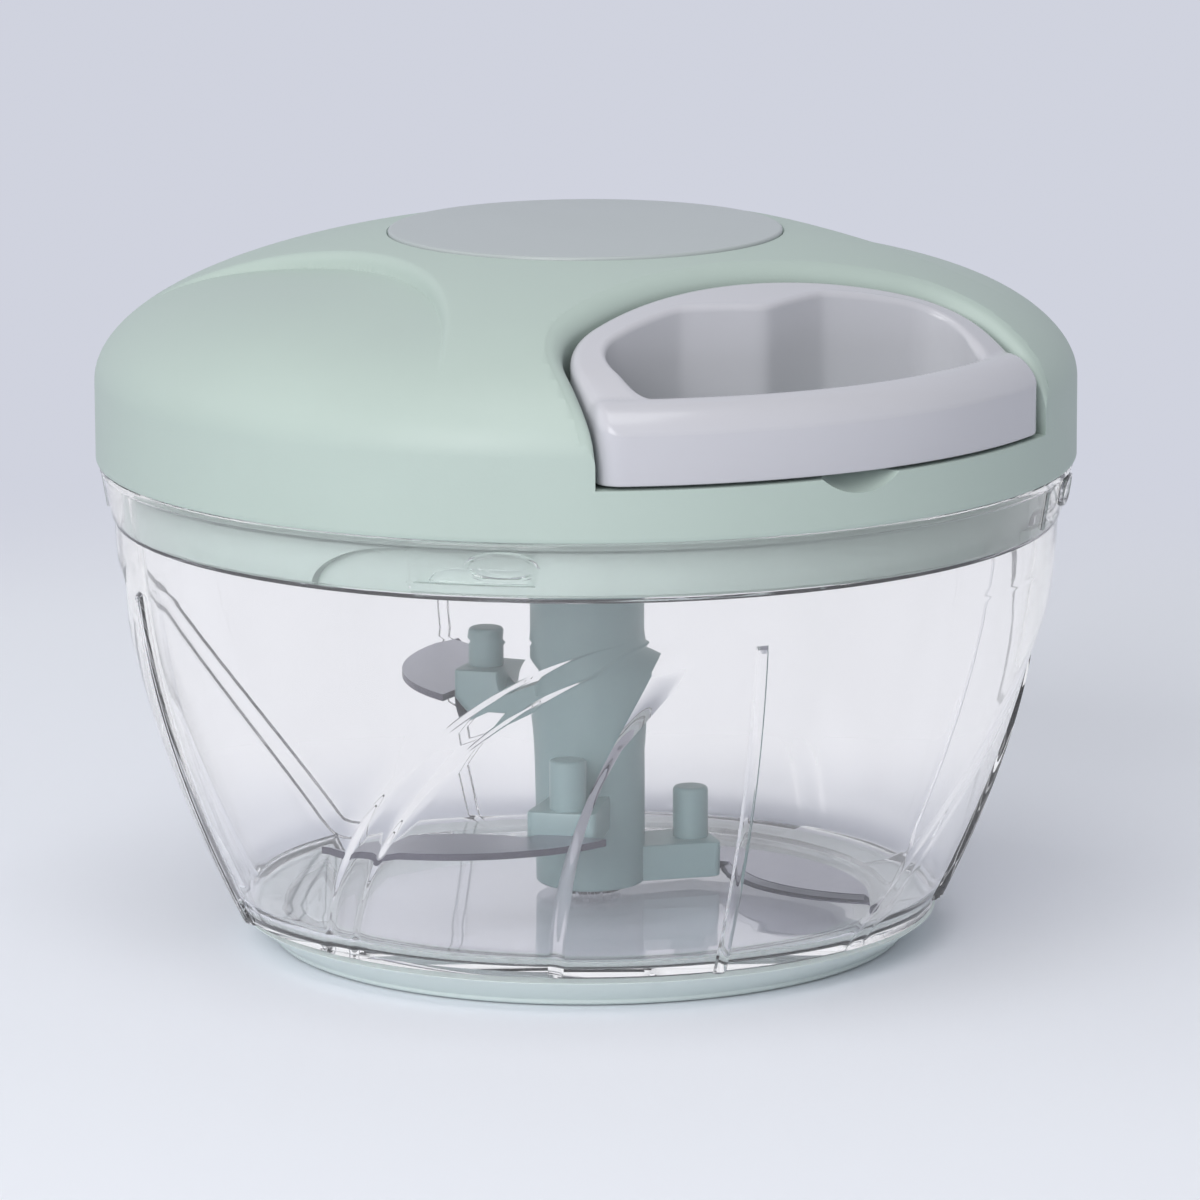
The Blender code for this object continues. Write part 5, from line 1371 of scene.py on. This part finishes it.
@dataclass
class CordDrive:
    """Wound cord, the cord that runs to the handle and its knot, and the finishes of the works in the lid."""

    finishes: Finishes
    paths: CordTree
    cord_z: float = 74.4 * MM
    diameter: float = 1.6 * MM
    drum: float = 14.6 * MM
    pitch: float = 2.05 * MM
    loops: int = 3
    guide_y: float = 30.4 * MM
    knot_y: float = 36.6 * MM
    knot_half: tuple = (2.2, 1.85, 2.2)

    def build(self) -> None:
        """Makes the cord and its knot, and gives the works their finishes."""
        self.build_run(self.build_winding())
        self.build_knot()
        steel_nodes = ("recoil_spring", "reel_axle", "thrust_washer", "cord_guide", "pawl_1", "pawl_2")
        works = dict.fromkeys(("cord_reel", "drive_hub", "spring_cup"), self.finishes.works)
        works |= dict.fromkeys(steel_nodes, self.finishes.turned_steel)
        for name, finish in works.items():
            for material_slot in frame["nodes"][name].material_slots:
                material_slot.material = finish

    def build_winding(self) -> Vector:
        """Makes the loops on the reel, and returns where the cord leaves them."""
        innermost = self.drum + 0.3 * MM + self.diameter / 2
        leave = math.degrees(math.acos((innermost + self.pitch * self.loops) / self.guide_y))
        wound = []
        per_loop = 48
        count = self.loops * per_loop
        for step in range(count + 1):
            azimuth = leave + 360.0 * (count - step) / per_loop
            reach = innermost + self.pitch * step / per_loop
            wound.append(placed(azimuth, reach, self.cord_z))
        winding = self.paths.sweep("wound_cord", wound, self.finishes.cord, self.diameter, sides=16)
        dress(winding, self.finishes.cord, Body.REEL, ["cord_winding"])
        return wound[-1]

    def build_run(self, last: Vector) -> None:
        """Makes the cord from the reel through the guide to the knot.

        Args:
            last: where the cord leaves the reel.
        """
        guide = Vector((0, -self.guide_y, self.cord_z))
        ahead = (guide - last).normalized()
        enter = Vector((0, -self.guide_y + 2.6 * MM, self.cord_z))
        start = last + ahead * 0.46 * MM
        end = Vector((0, -self.knot_y + 2.17 * MM, self.cord_z))
        run = [start.lerp(enter, step / 24) for step in range(24)]
        bend = enter + (end - enter) * 0.2
        for step in range(9):
            share = step / 8
            run.append(run[-1].lerp(enter.lerp(bend, share), 0.6) if step < 2 else enter.lerp(bend, share))
        run += [bend.lerp(end, step / 10) for step in range(1, 11)]
        spaced, least = [run[0]], 0.15 * MM
        for point in run[1:]:
            if (point - spaced[-1]).length > least:
                spaced.append(point)
        cord = self.paths.sweep("pull_cord", spaced, self.finishes.cord, self.diameter, sides=20)
        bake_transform(cord)
        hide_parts("cord_run")

    def build_knot(self) -> None:
        """Makes the knot in the handle, a ball with a twisted swell."""
        home = Vector((0, -self.knot_y, self.cord_z))
        knot = bmesh.new()
        bmesh.ops.create_uvsphere(knot, u_segments=40, v_segments=28, radius=1.0)
        wide, deep, tall = self.knot_half
        for vertex in knot.verts:
            place = vertex.co.copy()
            twist = math.atan2(place.z, place.x) * 2 + place.y * 3.5
            swell = 1 - 0.09 * abs(math.sin(twist))
            vertex.co = Vector((place.x * wide * swell, place.y * deep * swell, place.z * tall * swell)) * MM
            vertex.co += home
        ball = smooth(mesh_object("cord_end_knot", knot), 60.0)
        layer = ball.data.uv_layers.new(name="lay")
        for loop in ball.data.loops:
            place = ball.data.vertices[loop.vertex_index].co - home
            layer.data[loop.index].uv = (math.atan2(place.z, place.x) * 0.6, place.y / MM)
        dress(ball, self.finishes.cord, Body.HANDLE, ["cord_knot"])


@dataclass
class BladeUnit:
    """Holder tube with three arms and pegs, and its three curved blades."""

    finishes: Finishes
    turning: TurningTree
    reach: float = 16.9 * MM
    half: float = 4.7 * MM
    above: float = 3.4 * MM
    below: float = 1.2 * MM
    thickness: float = 0.9 * MM
    bevel: float = 1.6 * MM
    flat_face: float = 0.93
    peg_reach: float = 14.0 * MM
    stations: tuple = (("lower", 8.4, 73.5, 6.6), ("middle", 16.2, -46.5, 6.6), ("upper", 31.0, -143.5, 4.9))

    def rounded_block(self, name: str, low: float, high: float) -> bpy.types.Object:
        """Arm along +X between two heights, with rounded upright corners and softened edges."""
        start, end, half, soft = 4.2 * MM, self.reach, self.half, 1.1 * MM
        root_half = half * 0.86
        outline = [(start, -root_half)]
        for corner_y, first in ((-1, True), (1, False)):
            corner = Vector((end, half * corner_y))
            before = Vector((end - soft, half * corner_y)) if first else Vector((end, half - soft))
            after = Vector((end, -half + soft)) if first else Vector((end - soft, half))
            outline += curve_points(before, corner, after, 6)
        outline.append((start, root_half))
        rings = []
        middle = Vector(((start + end) / 2, 0.0))
        below = ((0.3, low), (0.08, low + 0.08 * MM), (0.0, low + 0.3 * MM))
        above = ((0.0, high - 0.4 * MM), (0.1, high - 0.1 * MM), (0.4, high))
        for inset, height in below + above:
            ring = []
            for x, y in outline:
                away = Vector((x, y)) - middle
                share = inset * MM / max(abs(away.x), abs(away.y), 1e-6)
                point = middle + away * (1 - share)
                ring.append((point.x, point.y, height))
            rings.append(ring)
        return solid_through(name, rings)

    def build_holder(self) -> None:
        """Makes the tube, its arms and its pegs."""
        finishes = self.finishes
        tube = [(4.3, 7.0), (7.4, 7.0), (7.4, 57.4), (5.6, 57.4), (5.6, 50.4), (2.3, 50.4), (2.3, 8.5),
                (4.3, 8.5), (4.3, 7.0)]
        holder = self.turning.turn("blade_spindle", tube, finishes.holder, 0.5, 128, 4)
        parts = []
        for name, height, azimuth, peg in self.stations:
            low, high = height * MM - self.below, height * MM + self.above
            arm = self.rounded_block(f"arm_{name}", low, high)
            arm.data.transform(Matrix.Rotation(math.radians(azimuth - 90), 4, "Z"))
            parts.append(arm)
            post = [(0.0, high / MM - 0.6), (2.3, high / MM - 0.6), (2.3, high / MM + peg), (0.0, high / MM + peg)]
            peg_piece = self.turning.turn(f"peg_{name}", post, finishes.holder, 0.6, 48, 5)
            peg_piece.data.transform(Matrix.Translation(heading(azimuth) * self.peg_reach))
            parts.append(peg_piece)
        bored(holder, parts, "UNION")
        bore = cylinder("pin_bore", 2.3 * MM, 4.0 * MM, 50.4 * MM, 0.0, 64)
        bored(holder, [bore], "DIFFERENCE")
        smooth(face_out(holder), 30.0)
        dress(holder, finishes.holder, Body.BLADES, ["blade_holder"])

    def blade_outline(self, steps: int = 40) -> tuple[list[Vector], int]:
        """Blade in plan, and where its cutting edge starts. +X is the arm's direction."""
        root, half = self.reach + 0.3 * MM, 3.2 * MM
        tip, heel = Vector((28.6 * MM, -27.8 * MM)), Vector((17.6 * MM, 6.4 * MM))
        outline = [Vector((9.2 * MM, -half)), Vector((9.2 * MM, half)), Vector((root, half)), heel]
        outline += arc_through(heel, Vector((28.6 * MM, -7.0 * MM)), tip, steps)
        start = len(outline)
        outline += arc_through(tip, Vector((18.6 * MM, -17.4 * MM)), Vector((root, -half)), steps)
        return outline, start

    def build_blades(self) -> None:
        """Makes the three blades with their ground edges, which are darkened with painted shade."""
        outline, start = self.blade_outline()
        half = self.thickness / 2
        profile = ((-half, 0.0), (-half + 0.2 * MM, 0.0), (0.0, 0.3), (half - 0.06 * MM, 0.92), (half, 1.0))
        normals = [Vector((0.0, 0.0))] * len(outline)
        for index in range(start, len(outline) - 1):
            along = (outline[index + 1] - outline[index - 1]).normalized()
            normals[index] = Vector((along.y, -along.x))
        for name, height, azimuth, _ in self.stations:
            levels = []
            for rise, share in profile:
                ground = [point + normal * self.bevel * share for point, normal in zip(outline, normals)]
                levels.append([(point.x, point.y, rise) for point in ground])
            piece = solid_through(f"{name}_blade", levels)
            turn = Matrix.Rotation(math.radians(azimuth - 90), 4, "Z")
            piece.data.transform(Matrix.Translation((0, 0, height * MM)) @ turn)
            smooth(face_out(piece), 20.0)
            piece.data.materials.append(self.finishes.steel)
            # Faces off the flat get the near-black steel: the ground edge plus painted shade along the blade's edges.
            piece.data.materials.append(self.finishes.ground_and_shade_steel)
            for polygon in piece.data.polygons:
                polygon.material_index = 1 if abs(polygon.normal.z) < self.flat_face else 0
            dress(piece, self.finishes.steel, Body.BLADES, [f"blade_{name}"])

    def build(self) -> None:
        """Makes the holder and its blades."""
        self.build_holder()
        self.build_blades()


def arc_through(first: Vector, second: Vector, third: Vector, steps: int) -> list[Vector]:
    """Points on the circle through three plan points, without the first."""
    a, b = second - first, third - first
    scale = 2 * (a.x * b.y - a.y * b.x)
    centre = first + Vector(
        (b.y * a.length_squared - a.y * b.length_squared, a.x * b.length_squared - b.x * a.length_squared)
    ) / scale
    spoke = first - centre
    turn = spoke.angle_signed(third - centre)
    if turn * spoke.angle_signed(second - centre) < 0:
        turn -= math.copysign(2 * math.pi, turn)
    return [centre + Matrix.Rotation(-turn * step / steps, 2) @ spoke for step in range(1, steps + 1)]


@dataclass
class Studio:
    """Pale sweep of paper, soft lamps and the camera."""

    azimuth: float = -33.5
    distance: float = 955.997 * MM
    height: float = 235.88 * MM
    pitch: float = 11.370
    yaw: float = 0.1012
    roll: float = -0.2469
    lens: float = 226.39
    wall_colour: Colour = (0.63, 0.65, 0.735)
    floor_colour: Colour = (0.86, 0.88, 0.935)
    # Brighter tone of the paper seen through the clear plastic: painted light that brightens the bowl's inside.
    painted_glow_colour: Colour = (0.94, 0.945, 0.96)
    floor_end: float = 0.21
    wall_start: float = 0.34
    painted_glow_start: float = 0.05
    painted_glow_end: float = 0.12
    turn_up: float = 1.4
    bend: float = 0.34
    half_width: float = 4.0
    front_end: float = -3.0
    wall_top: float = 3.0
    sky_colour: Colour = (0.96, 0.97, 1.0)
    sky_strength: float = 0.46
    bounces: int = 24
    lamps: tuple = (
        ("key_softbox", -24.0, 26.0, 1.3, 0.8, 9.1),
        ("side_softbox", -95.0, 35.0, 1.4, 0.8, 1.6),
        ("top_softbox", -10.0, 75.0, 1.3, 0.7, 3.7),
    )

    def build_camera(self) -> None:
        """Places the camera at the photograph's angle."""
        pitch, yaw, roll = (math.radians(value) for value in (self.pitch, self.yaw, self.roll))
        forward = Vector((math.sin(yaw) * math.cos(pitch), math.cos(yaw) * math.cos(pitch), -math.sin(pitch)))
        side = forward.cross(Vector((0, 0, 1))).normalized()
        up = side.cross(forward)
        right = side * math.cos(roll) + up * math.sin(roll)
        above = up * math.cos(roll) - side * math.sin(roll)
        turn = Matrix.Rotation(math.radians(self.azimuth), 4, "Z")
        pose = Matrix((right, above, -forward)).transposed().to_4x4()
        pose.translation = Vector((0, -self.distance, self.height))
        data = bpy.data.cameras.new("studio_camera")
        data.lens = self.lens
        data.sensor_width = 36.0
        data.clip_start, data.clip_end = 0.01, 30.0
        camera = bpy.data.objects.new("studio_camera", data)
        bpy.context.scene.collection.objects.link(camera)
        camera.matrix_world = turn @ pose
        bpy.context.scene.camera = camera

    def paper(self) -> bpy.types.Material:
        """Pale paper: it takes light and shadow near the chopper, and shows its own even tone further out. Seen
        through the clear plastic, the paper from a little way out glows in a brighter tone. This is painted light
        that brightens the bowl's inside.
        """
        material, wiring, shader = blank("studio_paper")
        place = wiring.node("ShaderNodeTexCoord").outputs["Object"]
        level = wiring.node("ShaderNodeVectorMath", {0: place, 1: (1.0, 1.0, 0.0)}, operation="MULTIPLY").outputs[0]
        around = wiring.node("ShaderNodeVectorMath", {0: level}, operation="LENGTH").outputs["Value"]
        rise, painted_glow_rise = (
            wiring.node(
                "ShaderNodeMapRange",
                {"Value": around, "From Min": start, "From Max": end},
                interpolation_type="SMOOTHSTEP",
            ).outputs[0]
            for start, end in ((self.floor_end, self.wall_start), (self.painted_glow_start, self.painted_glow_end))
        )
        shader.inputs["Base Color"].default_value = (*self.floor_colour, 1.0)
        shader.inputs["Roughness"].default_value = 0.9
        shader.inputs["Specular IOR Level"].default_value = 0.1
        rays = wiring.node("ShaderNodeLightPath").outputs
        # Camera and glossy rays see the far paper as an even emitted tone. Transmission rays see the paper beyond the
        # chopper glowing in a brighter tone, which is painted light for the bowl's inside.
        tone = wiring.node(
            "ShaderNodeMix",
            {0: rays["Is Transmission Ray"], 6: (*self.wall_colour, 1.0), 7: (*self.painted_glow_colour, 1.0)},
            data_type="RGBA",
        )
        glow = wiring.node("ShaderNodeEmission", {"Color": tone.outputs[2]})
        seen = wiring.math("MULTIPLY", wiring.math("MAXIMUM", rays["Is Camera Ray"], rays["Is Glossy Ray"]), rise)
        through = wiring.math("MULTIPLY", rays["Is Transmission Ray"], painted_glow_rise)
        share = wiring.math("MAXIMUM", seen, through)
        mixed = wiring.node("ShaderNodeMixShader", {0: share, 1: shader.outputs[0], 2: glow.outputs[0]})
        wiring.put(material.node_tree.nodes["Material Output"].inputs["Surface"], mixed.outputs[0])
        return material

    def build_floor(self) -> None:
        """Makes the floor and a curved sweep up to the wall."""
        turn = Matrix.Rotation(math.radians(self.azimuth), 4, "Z")
        mesh = bmesh.new()
        rows = [(self.front_end, 0.0), (-0.3, 0.0), (self.turn_up, 0.0)]
        for step in range(1, 25):
            angle = math.pi / 2 * step / 24
            rows.append((self.turn_up + self.bend * math.sin(angle), self.bend * (1 - math.cos(angle))))
        rows.append((self.turn_up + self.bend, self.wall_top))
        sides = (-self.half_width, self.half_width)
        made = [[mesh.verts.new(turn @ Vector((x, y, z))) for x in sides] for y, z in rows]
        for low, high in zip(made, made[1:]):
            mesh.faces.new((low[0], low[1], high[1], high[0]))
        floor = smooth(mesh_object("studio_sweep", mesh), 60.0)
        floor.data.materials.append(self.paper())

    def lamp(self, name: str, azimuth: float, elevation: float, away: float, size: float, power: float) -> None:
        """Square soft lamp that faces the chopper.

        Args:
            name: lamp name.
            azimuth: its side, seen from the camera: 0 is behind the camera and 90 to the right.
            elevation: degrees above the horizon.
            away: distance from the chopper.
            size: side length.
            power: watts.
        """
        data = bpy.data.lights.new(name, "AREA")
        data.shape = "SQUARE"
        data.size = size
        data.energy = power
        lamp = bpy.data.objects.new(name, data)
        bpy.context.scene.collection.objects.link(lamp)
        out = heading(azimuth + self.azimuth) * math.cos(math.radians(elevation))
        out.z = math.sin(math.radians(elevation))
        target = Vector((0, 0, 45 * MM))
        lamp.location = target + out * away
        lamp.rotation_mode = "QUATERNION"
        lamp.rotation_quaternion = (-out).to_track_quat("-Z", "Y")

    def build_light(self) -> None:
        """Sets the sky's glow and the lamps."""
        world = bpy.data.worlds.new("studio_glow")
        bpy.context.scene.world = world
        world.use_nodes = True
        glow = world.node_tree.nodes["Background"]
        glow.inputs["Color"].default_value = (*self.sky_colour, 1.0)
        glow.inputs["Strength"].default_value = self.sky_strength
        for lamp in self.lamps:
            self.lamp(*lamp)

    def build(self) -> None:
        """Makes the whole studio and sets the view transform."""
        self.build_camera()
        self.build_floor()
        self.build_light()
        bpy.context.scene.view_settings.view_transform = "Standard"
        bpy.context.scene.cycles.max_bounces = self.bounces
        bpy.context.scene.cycles.transmission_bounces = self.bounces


def main() -> None:
    """Builds the chopper piece by piece, then the studio."""
    logging.basicConfig(level=logging.INFO, format="%(name)s %(message)s")
    finishes = Finishes()
    turning = TurningTree()
    plan = HandlePlan()
    hole = HandlePlan(back=36.6 * MM, bow=70.0 * MM, side=32.2 * MM, slope=-0.135, front=57.3 * MM,
                      back_corner=5.0 * MM, front_corner=2.2 * MM, bump=4.3 * MM)
    ClearBowl(finishes, turning).build()
    lid = SageLid(finishes, turning)
    lid.build_cover()
    lid.build_fixtures()
    PullHandle(finishes, plan, hole).build()
    CordDrive(finishes, CordTree()).build()
    BladeUnit(finishes, turning).build()
    Studio().build()


if __name__ == "__main__":
    main()
